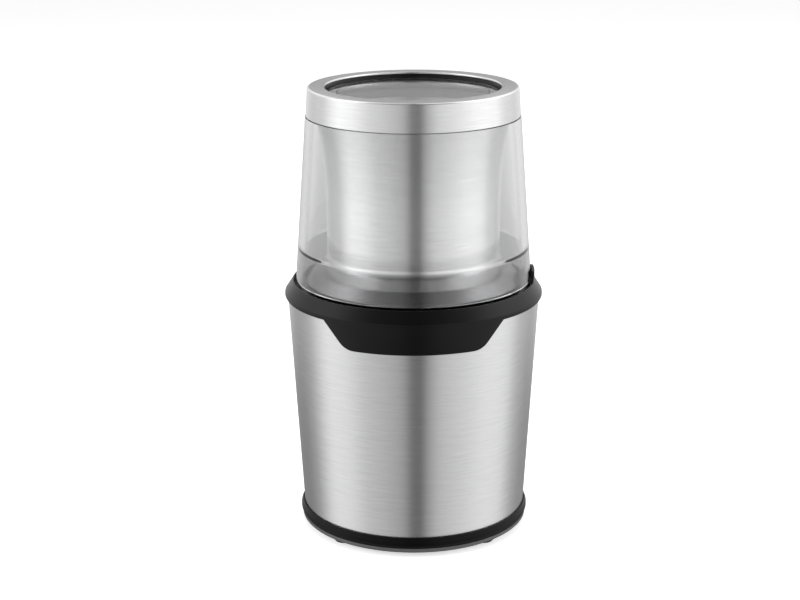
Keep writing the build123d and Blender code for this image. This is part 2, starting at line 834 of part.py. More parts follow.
# Slotted armature core
with BuildPart() as armature_core:
    with BuildSketch(Plane.XY.offset(stator_bottom)):
        Circle(armature_radius)
        with PolarLocations(armature_radius, armature_slot_count):
            Rectangle(2 * armature_slot_depth, armature_slot_width, mode=Mode.SUBTRACT)
        Circle(pressed_bore, mode=Mode.SUBTRACT)
    extrude(amount=stator_height)
armature_core.part.label = "armature_core"
export_step(armature_core.part, "parts/armature_core.step")

# Winding heads at both ends of the armature
winding_bottom = stator_bottom - winding_dome
with BuildPart() as armature_winding:
    with BuildSketch(Plane.XY.offset(stator_top)):
        Circle(winding_radius)
        Circle(winding_bore, mode=Mode.SUBTRACT)
    extrude(amount=winding_dome)
    with BuildSketch(Plane.XY.offset(winding_bottom)):
        Circle(winding_radius)
        Circle(winding_bore, mode=Mode.SUBTRACT)
    extrude(amount=winding_dome)
    fillet(armature_winding.edges().group_by(Axis.Z)[0].sort_by(SortBy.RADIUS)[-1], winding_round)
    fillet(armature_winding.edges().group_by(Axis.Z)[-1].sort_by(SortBy.RADIUS)[-1], winding_round)
armature_winding.part.label = "armature_winding"
export_step(armature_winding.part, "parts/armature_winding.step")

# Commutator
commutator_top = winding_bottom - commutator_gap
commutator_bottom = commutator_top - commutator_height
with BuildPart() as commutator:
    with BuildSketch(Plane.XY.offset(commutator_bottom)):
        Circle(commutator_radius)
        with PolarLocations(commutator_radius, commutator_bar_count):
            Rectangle(2 * commutator_slot_depth, commutator_slot, mode=Mode.SUBTRACT)
        Circle(pressed_bore, mode=Mode.SUBTRACT)
    extrude(amount=commutator_height)
commutator.part.label = "commutator"
export_step(commutator.part, "parts/commutator.step")

# Cooling fan: a disc with straight blades
fan_top = bracket_bottom - fan_gap
fan_bottom = fan_top - fan_height
fan_blade_reach = fan_radius - fan_blade_inset
with BuildPart() as cooling_fan:
    with BuildSketch(Plane.XY.offset(fan_bottom)):
        Circle(fan_radius)
    extrude(amount=fan_disc)
    with BuildSketch(Plane.XY.offset(fan_bottom)):
        Circle(fan_hub_radius)
        with PolarLocations(fan_blade_reach / 2, fan_blade_count):
            Rectangle(fan_blade_reach, fan_blade_thickness)
    extrude(amount=fan_height)
    with BuildSketch(Plane.XY.offset(fan_bottom)):
        Circle(pressed_bore)
    extrude(amount=fan_height, mode=Mode.SUBTRACT)
cooling_fan.part.label = "cooling_fan"
export_step(cooling_fan.part, "parts/cooling_fan.step")

# Spacers that keep the shaft in its place between the bearings
with BuildPart() as shaft_washers:
    for washer_bottom, washer_top in (
        (lower_top + seat_gap, commutator_bottom),
        (fan_top, bracket_bottom - seat_gap),
    ):
        with BuildSketch(Plane.XY.offset(washer_bottom)):
            Circle(washer_radius)
            Circle(pressed_bore, mode=Mode.SUBTRACT)
        extrude(amount=washer_top - washer_bottom)
shaft_washers.part.label = "shaft_washers"
export_step(shaft_washers.part, "parts/shaft_washers.step")

# Brush holders on the lower bracket
brush_middle = (commutator_top + commutator_bottom) / 2
brush_start = commutator_radius + brush_gap
holder_inner_width = brush_width + 2 * running_clearance
holder_inner_height = brush_height + 2 * running_clearance
holder_width = holder_inner_width + 2 * brush_holder_wall
holder_top = brush_middle + holder_inner_height / 2 + brush_holder_wall
holder_start = brush_start + brush_gap
holder_end = brush_start + brush_length + brush_spring_length + brush_holder_wall
brush_sides = (-1, 1)
with BuildPart() as brush_holders:
    for side in brush_sides:
        with BuildSketch(Plane.XY.offset(lower_top)):
            with Locations((0, side * (holder_start + holder_end) / 2)):
                Rectangle(holder_width, holder_end - holder_start)
        extrude(amount=holder_top - lower_top)
        with BuildSketch(Plane.XY.offset(brush_middle - holder_inner_height / 2)):
            with Locations((0, side * (holder_start + holder_end - brush_holder_wall) / 2)):
                Rectangle(holder_inner_width, holder_end - holder_start - brush_holder_wall)
        extrude(amount=holder_inner_height, mode=Mode.SUBTRACT)
brush_holders.part.label = "brush_holders"
export_step(brush_holders.part, "parts/brush_holders.step")

# Carbon brushes
with BuildPart() as carbon_brushes:
    for side in brush_sides:
        with BuildSketch(Plane.XY.offset(brush_middle - brush_height / 2)):
            with Locations((0, side * (brush_start + brush_length / 2))):
                Rectangle(brush_width, brush_length)
        extrude(amount=brush_height)
carbon_brushes.part.label = "carbon_brushes"
export_step(carbon_brushes.part, "parts/carbon_brushes.step")

# Brush springs, drawn as plain sleeves
with BuildPart() as brush_springs:
    for side in brush_sides:
        with BuildSketch(Plane.XZ.offset(-side * (brush_start + brush_length))):
            with Locations((0, brush_middle)):
                Circle(brush_spring_radius)
                Circle(brush_spring_radius - brush_spring_wire, mode=Mode.SUBTRACT)
        extrude(amount=-side * brush_spring_length)
brush_springs.part.label = "brush_springs"
export_step(brush_springs.part, "parts/brush_springs.step")

# Drive dog on top of the motor shaft
with BuildPart() as drive_dog:
    with BuildSketch(Plane.XY.offset(dog_bottom)):
        Circle(dog_hub_radius)
        with PolarLocations(dog_radius / 2, dog_lug_count):
            Rectangle(dog_radius, dog_lug_width)
    extrude(amount=dog_height)
    with BuildSketch(Plane.XY.offset(dog_bottom)):
        Circle(pressed_bore)
    extrude(amount=shaft_top - dog_bottom, mode=Mode.SUBTRACT)
drive_dog.part.label = "drive_dog"
export_step(drive_dog.part, "parts/drive_dog.step")

# Safety switch on its side plate, worked by the rod under the lid
plunger_bottom = switch_top - switch_plunger_embed
plunger_hole_bottom = plunger_bottom - press_travel - seat_gap
with BuildPart() as micro_switch:
    with BuildSketch(Plane.XY.offset(switch_bottom)):
        with Locations((switch_x, 0)):
            Rectangle(switch_width, switch_length)
    extrude(amount=switch_height)
    with BuildSketch(Plane.XY.offset(plunger_hole_bottom)):
        with Locations((switch_x, 0)):
            Circle(switch_plunger_radius + running_clearance)
    extrude(amount=switch_top - plunger_hole_bottom, mode=Mode.SUBTRACT)
    with BuildSketch(Plane.YZ.offset(side_plate_x)):
        with Locations(*switch_screw_points):
            Circle(switch_screw_radius + press_clearance)
    extrude(amount=switch_width, mode=Mode.SUBTRACT)
micro_switch.part.label = "micro_switch"
export_step(micro_switch.part, "parts/micro_switch.step")

# Plunger of the switch
with BuildPart() as switch_plunger:
    with BuildSketch(Plane.XY.offset(plunger_bottom)):
        with Locations((switch_x, 0)):
            Circle(switch_plunger_radius)
    extrude(amount=plunger_top - plunger_bottom)
    fillet(switch_plunger.edges().group_by(Axis.Z)[-1], switch_plunger_round)
switch_plunger.part.label = "switch_plunger"
export_step(switch_plunger.part, "parts/switch_plunger.step")

# Screws through the switch into its side plate
with BuildPart() as switch_screws:
    with BuildSketch(Plane.YZ.offset(side_plate_x + switch_width)):
        with Locations(*switch_screw_points):
            Circle(switch_screw_head)
    extrude(amount=switch_screw_head_height)
    with BuildSketch(Plane.YZ.offset(side_plate_x - side_plate_thickness)):
        with Locations(*switch_screw_points):
            Circle(switch_screw_radius)
    extrude(amount=side_plate_thickness + switch_width)
switch_screws.part.label = "switch_screws"
export_step(switch_screws.part, "parts/switch_screws.step")

# Rod that the lid pushes down, with an arm over the switch
rod_top = lid_bottom - seat_gap
spring_top = deck_top + spring_height
arm_start = switch_x - rod_arm_tip
arm_end = rod_x + rod_flange_radius
with BuildPart() as push_rod:
    with BuildSketch(Plane.XY.offset(arm_bottom)):
        with Locations((rod_x, 0)):
            Circle(rod_radius)
    extrude(amount=rod_top - arm_bottom)
    with BuildSketch(Plane.XY.offset(spring_top)):
        with Locations((rod_x, 0)):
            Circle(rod_flange_radius)
    extrude(amount=rod_flange_height)
    with BuildSketch(Plane.XY.offset(arm_bottom)):
        with Locations(((arm_start + arm_end) / 2, 0)):
            Rectangle(arm_end - arm_start, rod_arm_width)
    extrude(amount=rod_arm_height)
    fillet(push_rod.edges().group_by(Axis.Z)[-1], rod_round)
push_rod.part.label = "push_rod"
export_step(push_rod.part, "parts/push_rod.step")

# Return spring between the deck and the rod's flange
coil_radius = rod_radius + spring_gap + spring_wire / 2
coil_start = deck_top + spring_wire / 2
coil_rise = spring_height - spring_wire
with BuildPart() as return_spring:
    with BuildLine() as coil_line:
        Helix(coil_rise / spring_turns, coil_rise, coil_radius, center=(rod_x, 0, coil_start))
    with BuildSketch(Plane(origin=coil_line.line @ 0, z_dir=coil_line.line % 0)):
        Circle(spring_wire / 2)
    sweep()
return_spring.part.label = "return_spring"
export_step(return_spring.part, "parts/return_spring.step")

# Suppression capacitor on the other side plate
capacitor_x = side_plate_x + capacitor_width / 2
with BuildPart() as suppression_capacitor:
    with BuildSketch(Plane.XY.offset(deck_bottom - side_plate_drop)):
        with Locations((-capacitor_x, 0)):
            Rectangle(capacitor_width, capacitor_length)
    extrude(amount=capacitor_height)
    fillet(suppression_capacitor.edges().filter_by(Axis.Z), capacitor_edge)
suppression_capacitor.part.label = "suppression_capacitor"
export_step(suppression_capacitor.part, "parts/suppression_capacitor.step")

# Cord gland through the back of the housing, with a tongue down to the base ring


def gland_plane(distance):
    """Upright plane at a distance behind the Z axis, looking backwards."""
    return Plane(origin=(0, distance, gland_height), x_dir=(-1, 0, 0), z_dir=(0, 1, 0))


gland_drop = gland_height - ring_top - seat_gap
gland_steps = (
    (gland_start, gland_inner_start, gland_tail_radius),
    (gland_inner_start, gland_inner_end, gland_flange),
)
gland_tongues = (
    (spigot_outer + fit_clearance, gland_outer_start, gland_neck),
    (gland_outer_start, gland_outer_end, gland_flange),
)
with BuildPart() as cord_gland:
    for step_start, step_end, step_radius in gland_steps:
        with BuildSketch(gland_plane(step_start)):
            Circle(step_radius)
        extrude(amount=step_end - step_start)
    with BuildSketch(gland_plane(gland_inner_end)):
        Rectangle(2 * gland_neck, 2 * gland_neck)
    extrude(amount=gland_outer_start - gland_inner_end)
    for tongue_start, tongue_end, tongue_radius in gland_tongues:
        with BuildSketch(gland_plane(tongue_start)):
            with Locations((0, -gland_drop / 2)):
                Rectangle(2 * tongue_radius, gland_drop)
        extrude(amount=tongue_end - tongue_start)
    with BuildSketch(gland_plane(gland_outer_start)):
        Circle(gland_flange)
    extrude(amount=gland_flange_depth)
    fillet(cord_gland.edges().group_by(Axis.Y)[-1], gland_round)
    with BuildSketch(gland_plane(gland_start)):
        Circle(gland_bore)
    extrude(amount=gland_outer_end - gland_start, mode=Mode.SUBTRACT)
cord_gland.part.label = "cord_gland"
export_step(cord_gland.part, "parts/cord_gland.step")

# Clamp bar over the cord
clamp_bottom = cover_top + clamp_post_height
clamp_top = clamp_bottom + clamp_bar_thickness
with BuildPart() as cord_clamp:
    with BuildSketch(Plane.XY.offset(clamp_bottom)):
        with Locations((0, clamp_y)):
            SlotOverall(clamp_bar_length, clamp_bar_width)
        with Locations(*clamp_points):
            Circle(clamp_screw_radius + press_clearance, mode=Mode.SUBTRACT)
    extrude(amount=clamp_bar_thickness)
    with BuildSketch(Plane.XZ.offset(-clamp_y - clamp_bar_width / 2)):
        with Locations((0, clamp_bottom)):
            Circle(clamp_groove)
    extrude(amount=clamp_bar_width, mode=Mode.SUBTRACT)
cord_clamp.part.label = "cord_clamp"
export_step(cord_clamp.part, "parts/cord_clamp.step")

# Screws of the cord clamp
with BuildPart() as clamp_screws:
    with BuildSketch(Plane.XY.offset(clamp_top)):
        with Locations(*clamp_points):
            Circle(clamp_screw_head)
    extrude(amount=clamp_screw_head_height)
    with BuildSketch(Plane.XY.offset(cover_top + 2 * screw_tip_room)):
        with Locations(*clamp_points):
            Circle(clamp_screw_radius)
    extrude(amount=clamp_top - cover_top - 2 * screw_tip_room)
clamp_screws.part.label = "clamp_screws"
export_step(clamp_screws.part, "parts/clamp_screws.step")

# Steel bowl: cup, ledge and skirt in one pressing
cup_floor = ledge_top + cup_floor_rise
cup_inner_radius = cup_bottom_radius - bowl_wall
straight_bottom = ledge_top + cup_cove
straight_top = straight_bottom + cup_straight
straight_radius = cup_bottom_radius + cup_straight_taper
ledge_bottom = ledge_top - bowl_wall
bushing_hole = bushing_radius + press_clearance
floor_edge_radius = cup_inner_radius - cup_inner_corner + cup_floor_edge
with BuildPart() as bowl_cup:
    with BuildSketch(Plane.XZ):
        with BuildLine():
            Line((skirt_radius, skirt_bottom), (skirt_radius, ledge_top - skirt_round))
            TangentArc(
                (skirt_radius, ledge_top - skirt_round),
                (skirt_radius - skirt_round, ledge_top),
                tangent=(0, 1),
            )
            Line((skirt_radius - skirt_round, ledge_top), (cup_bottom_radius + cup_cove, ledge_top))
            TangentArc(
                (cup_bottom_radius + cup_cove, ledge_top),
                (cup_bottom_radius, straight_bottom),
                tangent=(-1, 0),
            )
            Line((cup_bottom_radius, straight_bottom), (straight_radius, straight_top))
            TangentArc(
                (straight_radius, straight_top),
                (rim_radius, rim_top),
                tangent=(cup_straight_taper, cup_straight),
            )
            Line((rim_radius, rim_top), (rim_radius - bowl_wall, rim_top))
            TangentArc(
                (straight_radius - bowl_wall, straight_top),
                (rim_radius - bowl_wall, rim_top),
                tangent=(cup_straight_taper, cup_straight),
            )
            Line(
                (straight_radius - bowl_wall, straight_top),
                (cup_inner_radius, cup_floor + cup_inner_corner),
            )
            TangentArc(
                (cup_inner_radius, cup_floor + cup_inner_corner),
                (cup_inner_radius - cup_inner_corner, cup_floor),
                tangent=(0, -1),
            )
            Polyline(
                (cup_inner_radius - cup_inner_corner, cup_floor),
                (bushing_hole, cup_floor),
                (bushing_hole, cup_floor - bowl_wall),
                (floor_edge_radius, cup_floor - bowl_wall),
                (cup_bottom_radius + bowl_wall, ledge_bottom),
                (skirt_radius - bowl_wall, ledge_bottom),
                (skirt_radius - bowl_wall, skirt_bottom),
                (skirt_radius, skirt_bottom),
            )
        make_face()
        with Locations((rim_radius, rim_top - rim_bead)):
            Circle(rim_bead)
    revolve(axis=Axis.Z)
bowl_cup.part.label = "bowl_cup"
export_step(bowl_cup.part, "parts/bowl_cup.step")

# Black base of the bowl, notched for the keys of the deck
base_bottom = deck_top + seat_gap
bushing_bottom = ledge_top - bushing_tail
boss_bottom = bushing_bottom + bushing_nut_height + seat_gap
upper_outer = skirt_radius - bowl_wall - fit_clearance
plate_bottom = ledge_bottom - bowl_base_plate
hollow_radius = upper_outer - bowl_base_wall
with BuildPart() as bowl_base:
    with BuildSketch(Plane.XZ):
        with BuildLine():
            Polyline(
                (skirt_radius, base_bottom),
                (skirt_radius, skirt_bottom),
                (upper_outer, skirt_bottom),
                (upper_outer, ledge_bottom),
                (floor_support_radius, ledge_bottom),
                (floor_support_radius, cup_floor - bowl_wall),
                (bushing_hole, cup_floor - bowl_wall),
                (bushing_hole, boss_bottom),
                (bushing_radius + bushing_boss_wall, boss_bottom),
                (bushing_radius + bushing_boss_wall, plate_bottom),
                (hollow_radius, plate_bottom),
                (hollow_radius, base_bottom),
                close=True,
            )
        make_face()
    revolve(axis=Axis.Z)
    with BuildSketch(Plane.XY.offset(base_bottom)):
        with PolarLocations(key_circle, key_count):
            Rectangle(key_length + 2 * well_clearance + bowl_base_wall, key_width + 2 * key_clearance)
    extrude(amount=key_height + seat_gap, mode=Mode.SUBTRACT)
bowl_base.part.label = "bowl_base"
export_step(bowl_base.part, "parts/bowl_base.step")

# Bushing through the cup's floor
bushing_top = cup_floor + bushing_flange_height
with BuildPart() as bowl_bushing:
    with BuildSketch(Plane.XY.offset(bushing_bottom)):
        Circle(bushing_radius)
    extrude(amount=bushing_top - bushing_bottom)
    with BuildSketch(Plane.XY.offset(cup_floor)):
        Circle(bushing_flange)
    extrude(amount=bushing_flange_height)
    with BuildSketch(Plane.XY.offset(bushing_bottom)):
        Circle(spindle_radius + running_clearance)
    extrude(amount=bushing_top - bushing_bottom, mode=Mode.SUBTRACT)
bowl_bushing.part.label = "bowl_bushing"
export_step(bowl_bushing.part, "parts/bowl_bushing.step")

# Nut under the bushing
with BuildPart() as bushing_nut:
    with BuildSketch(Plane.XY.offset(boss_bottom - bushing_nut_height)):
        RegularPolygon(bushing_nut_size / 2, nut_sides, major_radius=False)
        Circle(bushing_hole, mode=Mode.SUBTRACT)
    extrude(amount=bushing_nut_height)
bushing_nut.part.label = "bushing_nut"
export_step(bushing_nut.part, "parts/bushing_nut.step")

# Rubber seal round the spindle
with BuildPart() as shaft_seal:
    with BuildSketch(Plane.XY.offset(bushing_top)):
        Circle(shaft_seal_radius)
    extrude(amount=shaft_seal_height)
    chamfer(shaft_seal.edges().group_by(Axis.Z)[-1], shaft_seal_chamfer)
    with BuildSketch(Plane.XY.offset(bushing_top)):
        Circle(spindle_radius + running_clearance)
    extrude(amount=shaft_seal_height, mode=Mode.SUBTRACT)
shaft_seal.part.label = "shaft_seal"
export_step(shaft_seal.part, "parts/shaft_seal.step")

# Blade spindle
socket_bottom = deck_top + socket_lift
socket_top = socket_bottom + socket_height
socket_recess_top = dog_top + socket_headroom
blade_bottom = cup_floor + blade_rise
blade_top = blade_bottom + blade_thickness
nut_top = blade_top + blade_nut_height
pressed_spindle = spindle_radius + press_clearance
with BuildPart() as blade_spindle:
    with BuildSketch(Plane.XY.offset(socket_recess_top)):
        Circle(spindle_radius)
    extrude(amount=nut_top - blade_nut_cap - socket_recess_top)
blade_spindle.part.label = "blade_spindle"
export_step(blade_spindle.part, "parts/blade_spindle.step")

# Socket on the spindle, cut to slide over the dog
with BuildPart() as drive_socket:
    with BuildSketch(Plane.XY.offset(socket_bottom)):
        Circle(socket_radius)
    extrude(amount=socket_top - socket_bottom)
    with BuildSketch(Plane.XY.offset(socket_bottom)):
        Circle(dog_hub_radius + socket_clearance)
        with PolarLocations((dog_radius + socket_clearance) / 2, dog_lug_count):
            Rectangle(dog_radius + socket_clearance, dog_lug_width + 2 * socket_clearance)
    extrude(amount=socket_recess_top - socket_bottom, mode=Mode.SUBTRACT)
    with BuildSketch(Plane.XY.offset(socket_recess_top)):
        Circle(pressed_spindle)
    extrude(amount=socket_top - socket_recess_top, mode=Mode.SUBTRACT)
drive_socket.part.label = "drive_socket"
export_step(drive_socket.part, "parts/drive_socket.step")

# Washer under the bushing and spacer under the blade
with BuildPart() as spindle_washers:
    for washer_bottom, washer_top in (
        (socket_top, bushing_bottom - seat_gap),
        (bushing_top + shaft_seal_height + seat_gap, blade_bottom),
    ):
        with BuildSketch(Plane.XY.offset(washer_bottom)):
            Circle(blade_spacer_radius)
            Circle(pressed_spindle, mode=Mode.SUBTRACT)
        extrude(amount=washer_top - washer_bottom)
spindle_washers.part.label = "spindle_washers"
export_step(spindle_washers.part, "parts/spindle_washers.step")

# Blade with one end bent up high and one end low
blade_half = blade_span / 2
with BuildPart() as grinding_blade:
    with BuildSketch(Plane.XZ):
        with BuildLine():
            Polyline(
                (-blade_half, blade_bottom + blade_high_tip),
                (-blade_flat / 2, blade_bottom),
                (blade_flat / 2, blade_bottom),
                (blade_half, blade_bottom + blade_low_tip),
                (blade_half, blade_top + blade_low_tip),
                (blade_flat / 2, blade_top),
                (-blade_flat / 2, blade_top),
                (-blade_half, blade_top + blade_high_tip),
                close=True,
            )
        make_face()
    extrude(amount=blade_width, both=True)
    with BuildSketch(Plane.XY.offset(blade_bottom)):
        SlotOverall(blade_span, blade_width)
        Circle(pressed_spindle, mode=Mode.SUBTRACT)
    extrude(amount=blade_high_tip + blade_thickness, mode=Mode.INTERSECT)
grinding_blade.part.label = "grinding_blade"
export_step(grinding_blade.part, "parts/grinding_blade.step")

# Closed nut on the blade
with BuildPart() as blade_nut:
    with BuildSketch(Plane.XY.offset(blade_top)):
        RegularPolygon(blade_nut_radius, nut_sides)
    extrude(amount=blade_nut_height)
    fillet(blade_nut.edges().group_by(Axis.Z)[-1], blade_nut_round)
    with BuildSketch(Plane.XY.offset(blade_top)):
        Circle(pressed_spindle)
    extrude(amount=blade_nut_height - blade_nut_cap, mode=Mode.SUBTRACT)
blade_nut.part.label = "blade_nut"
export_step(blade_nut.part, "parts/blade_nut.step")

# Clear lid with a raised round window, thinner at its foot
top_underside = lid_top - lid_top_thickness
shoulder_height = lid_top - lid_shoulder_height
shoulder_radius = cap_radius(cap_bottom) - cap_wall - fit_clearance
top_radius = cap_radius(lid_top) - cap_wall - fit_clearance
window_edge = liner_inner - fit_clearance
with BuildPart() as lid_body:
    with BuildSketch(Plane.XZ):
        with BuildLine():
            Polyline(
                (lid_bottom_radius, lid_bottom),
                (lid_top_radius, shoulder_height),
                (shoulder_radius, shoulder_height),
                (top_radius, lid_top - lid_top_chamfer),
                (top_radius - lid_top_chamfer, lid_top),
                (window_edge, lid_top),
                (window_edge, lid_top + window_rise),
                (0, lid_top + window_rise),
                (0, top_underside + window_rise),
                (window_radius, top_underside + window_rise),
                (window_radius, top_underside),
                (lid_radius(top_underside) - lid_wall, top_underside),
                (lid_radius(lid_step) - lid_wall, lid_step),
                (lid_radius(lid_step) - lid_foot_wall, lid_step),
                (lid_bottom_radius - lid_foot_wall, lid_bottom),
                close=True,
            )
        make_face()
    revolve(axis=Axis.Z)
lid_body.part.label = "lid_body"
export_step(lid_body.part, "parts/lid_body.step")

# Silicone seal between the bowl's rim and the lid
seal_bottom = rim_top + seat_gap
seal_top = seal_bottom + seal_height
seal_outer = lid_radius(seal_top + press_travel) - lid_wall - seal_clearance
seal_lip_outer = rim_radius - bowl_wall - seal_lip_gap
with BuildPart() as lid_seal:
    with BuildSketch(Plane.XZ):
        with BuildLine():
            Polyline(
                (seal_outer, seal_bottom),
                (seal_outer, seal_top),
                (seal_lip_outer - seal_lip, seal_top),
                (seal_lip_outer - seal_lip, seal_bottom - seal_lip_drop),
                (seal_lip_outer, seal_bottom - seal_lip_drop),
                (seal_lip_outer, seal_bottom),
                close=True,
            )
        make_face()
    revolve(axis=Axis.Z)
lid_seal.part.label = "lid_seal"
export_step(lid_seal.part, "parts/lid_seal.step")

# Steel cap with a wide hole over the clear top
cap_ceiling = cap_top - cap_wall
hem_bottom = cap_top - cap_hem
with BuildPart() as lid_cap:
    with BuildSketch(Plane.XZ):
        with BuildLine():
            Line((cap_bottom_radius, cap_bottom), (cap_radius(cap_top - cap_edge), cap_top - cap_edge))
            TangentArc(
                (cap_radius(cap_top - cap_edge), cap_top - cap_edge),
                (cap_top_radius - cap_edge, cap_top),
                tangent=(-cap_taper, cap_height),
            )
            Line((cap_top_radius - cap_edge, cap_top), (cap_hole_radius + cap_hole_edge, cap_top))
            TangentArc(
                (cap_hole_radius + cap_hole_edge, cap_top),
                (cap_hole_radius, cap_top - cap_hole_edge),
                tangent=(-1, 0),
            )
            Polyline(
                (cap_hole_radius, cap_top - cap_hole_edge),
                (cap_hole_radius, hem_bottom),
                (cap_hole_radius + cap_wall, hem_bottom),
                (cap_hole_radius + cap_wall, cap_ceiling),
                (cap_radius(cap_ceiling) - cap_wall, cap_ceiling),
                (cap_bottom_radius - cap_wall, cap_bottom),
                (cap_bottom_radius, cap_bottom),
            )
        make_face()
    revolve(axis=Axis.Z)
lid_cap.part.label = "lid_cap"
export_step(lid_cap.part, "parts/lid_cap.step")

# Black liner between the clear top and the cap
liner_outer = top_radius - lid_top_chamfer
liner_step = cap_hole_radius + cap_wall + fit_clearance
with BuildPart() as cap_liner:
    with BuildSketch(Plane.XZ):
        with BuildLine():
            Polyline(
                (liner_inner, lid_top),
                (liner_outer, lid_top),
                (liner_outer, cap_ceiling),
                (liner_step, cap_ceiling),
                (liner_step, hem_bottom - press_clearance),
                (liner_inner, hem_bottom - press_clearance),
                close=True,
            )
        make_face()
    revolve(axis=Axis.Z)
cap_liner.part.label = "cap_liner"
export_step(cap_liner.part, "parts/cap_liner.step")
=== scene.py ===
import math

import bmesh
import bpy
from mathutils import Euler, Matrix, Vector


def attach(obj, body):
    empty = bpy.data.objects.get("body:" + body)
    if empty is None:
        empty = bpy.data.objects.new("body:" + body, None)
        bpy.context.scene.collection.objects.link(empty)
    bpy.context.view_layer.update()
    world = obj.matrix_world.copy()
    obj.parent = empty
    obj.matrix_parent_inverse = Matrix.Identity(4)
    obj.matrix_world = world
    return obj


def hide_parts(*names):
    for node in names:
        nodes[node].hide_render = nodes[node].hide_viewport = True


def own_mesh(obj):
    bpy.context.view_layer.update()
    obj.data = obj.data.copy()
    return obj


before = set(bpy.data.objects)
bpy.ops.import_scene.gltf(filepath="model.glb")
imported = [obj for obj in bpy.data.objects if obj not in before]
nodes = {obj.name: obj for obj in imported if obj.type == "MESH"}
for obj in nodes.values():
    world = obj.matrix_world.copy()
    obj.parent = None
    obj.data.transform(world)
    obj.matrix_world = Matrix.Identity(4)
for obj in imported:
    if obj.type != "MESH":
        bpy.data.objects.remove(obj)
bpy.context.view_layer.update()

mm = 0.001
sharpAngle = 33.0  # edges bent more than this are shaded as creases


class Wire:  # an output socket that does sums
    def __init__(self, board, socket):
        self.board, self.socket = board, socket

    def sum(self, operation, *others):
        values = {0: self}
        values.update({index + 1: other for index, other in enumerate(others)})
        return self.board.node("ShaderNodeMath", {"operation": operation}, values)

    def __add__(self, other):
        return self.sum("ADD", other)

    def __sub__(self, other):
        return self.sum("SUBTRACT", other)

    def __mul__(self, other):
        return self.sum("MULTIPLY", other)

    def __truediv__(self, other):
        return self.sum("DIVIDE", other)

    def __rsub__(self, other):
        return self.board.node("ShaderNodeMath", {"operation": "SUBTRACT"}, {0: other, 1: self})

    __radd__ = __add__
    __rmul__ = __mul__

    def clamp(self):
        return self.sum("MAXIMUM", 0.0).sum("MINIMUM", 1.0)

    def out(self, name):  # another output of the same node
        return Wire(self.board, self.socket.node.outputs[name])


class Board:  # a node tree under construction
    def __init__(self, tree):
        self.tree = tree

    def node(self, kind, settings=None, sockets=None, out=0):
        made = self.tree.nodes.new(kind)
        for key, value in (settings or {}).items():
            if key == "stops":
                ramp = made.color_ramp
                while len(ramp.elements) < len(value):
                    ramp.elements.new(0.5)
                for element, (place, colour) in zip(ramp.elements, value):
                    element.position = place
                    element.color = colour if isinstance(colour, tuple) else (colour, colour, colour, 1)
            else:
                setattr(made, key, value)
        for key, value in (sockets or {}).items():
            if isinstance(value, Wire):
                self.tree.links.new(value.socket, made.inputs[key])
            else:
                made.inputs[key].default_value = value
        return Wire(self, made.outputs[out]) if made.outputs else made

    def vector(self, x, y, z):
        return self.node("ShaderNodeCombineXYZ", None, {0: x, 1: y, 2: z})

    def noise(self, vector, scale=1.0, detail=2.0, rough=0.5):
        sockets = {"Vector": vector, "Scale": scale, "Detail": detail, "Roughness": rough}
        return self.node("ShaderNodeTexNoise", None, sockets)

    def mix(self, mask, first, second):
        blend = self.node("ShaderNodeMix", {"data_type": "RGBA"}, {0: mask}, out=2)
        for slotIndex, value in ((6, first), (7, second)):
            if isinstance(value, Wire):
                self.tree.links.new(value.socket, blend.socket.node.inputs[slotIndex])
            else:
                blend.socket.node.inputs[slotIndex].default_value = (*value, 1)
        return blend

    def ramp(self, value, *stops):
        return self.node("ShaderNodeValToRGB", {"stops": list(stops)}, {0: value})

    def bump(self, height, strength, distance):
        sockets = {"Height": height, "Strength": strength, "Distance": distance}
        return self.node("ShaderNodeBump", None, sockets)


class Finish(Board):  # a material with a Principled shader
    def __init__(self, name, **constants):
        self.material = bpy.data.materials.new(name)
        self.material.use_nodes = True
        super().__init__(self.material.node_tree)
        self.shader = self.tree.nodes["Principled BSDF"]
        for key, value in constants.items():
            self.shader.inputs[key.replace("_", " ")].default_value = value
        self.place = self.node("ShaderNodeTexCoord", None, None, out="Object")
        split = self.node("ShaderNodeSeparateXYZ", None, {0: self.place})
        self.x, self.y, self.z = split, split.out("Y"), split.out("Z")

    @property
    def radius(self):  # distance from the upright axis
        return (self.x * self.x + self.y * self.y).sum("SQRT")

    def link(self, **wires):
        for key, wire in wires.items():
            self.tree.links.new(wire.socket, self.shader.inputs[key.replace("_", " ")])
        return self.material


def brushedSteel(name, look):  # brushed round the upright axis
    board = Finish(name, Metallic=1.0, Anisotropic=look["anisotropy"], Anisotropic_Rotation=0.25)
    along = board.z * 1.3 + board.radius
    fine = board.noise(board.vector(board.x * 110, board.y * 110, along * look["fine"]), 1.0, 3.0, 0.6)
    broad = board.noise(board.vector(board.x * 45, board.y * 45, along * look["broad"]), 1.0, 2.0)
    cloud = board.noise(board.place, 28.0, 3.0)
    streak = fine * 0.7 + broad * 0.3
    tone = ((streak - 0.5) * look["contrast"] + (cloud - 0.5) * 0.1 + 0.5).clamp()
    colour = board.mix(tone, look["dark"], look["light"])
    if "foot" in look:  # the lower part gets painted shade, a darker colour below the given height
        level, shade = look["foot"]
        paintedShadeBelow = board.ramp((board.z - level) * 350 + 0.5, (0.0, 1.0), (1.0, 0.0))
        colour = board.mix(paintedShadeBelow, colour, shade)
    rough = (streak - 0.5) * 0.1 + (cloud - 0.5) * 0.05 + look["rough"]
    relief = board.bump(streak, look["relief"], 0.00003)
    return board.link(Base_Color=colour, Roughness=rough, Normal=relief)


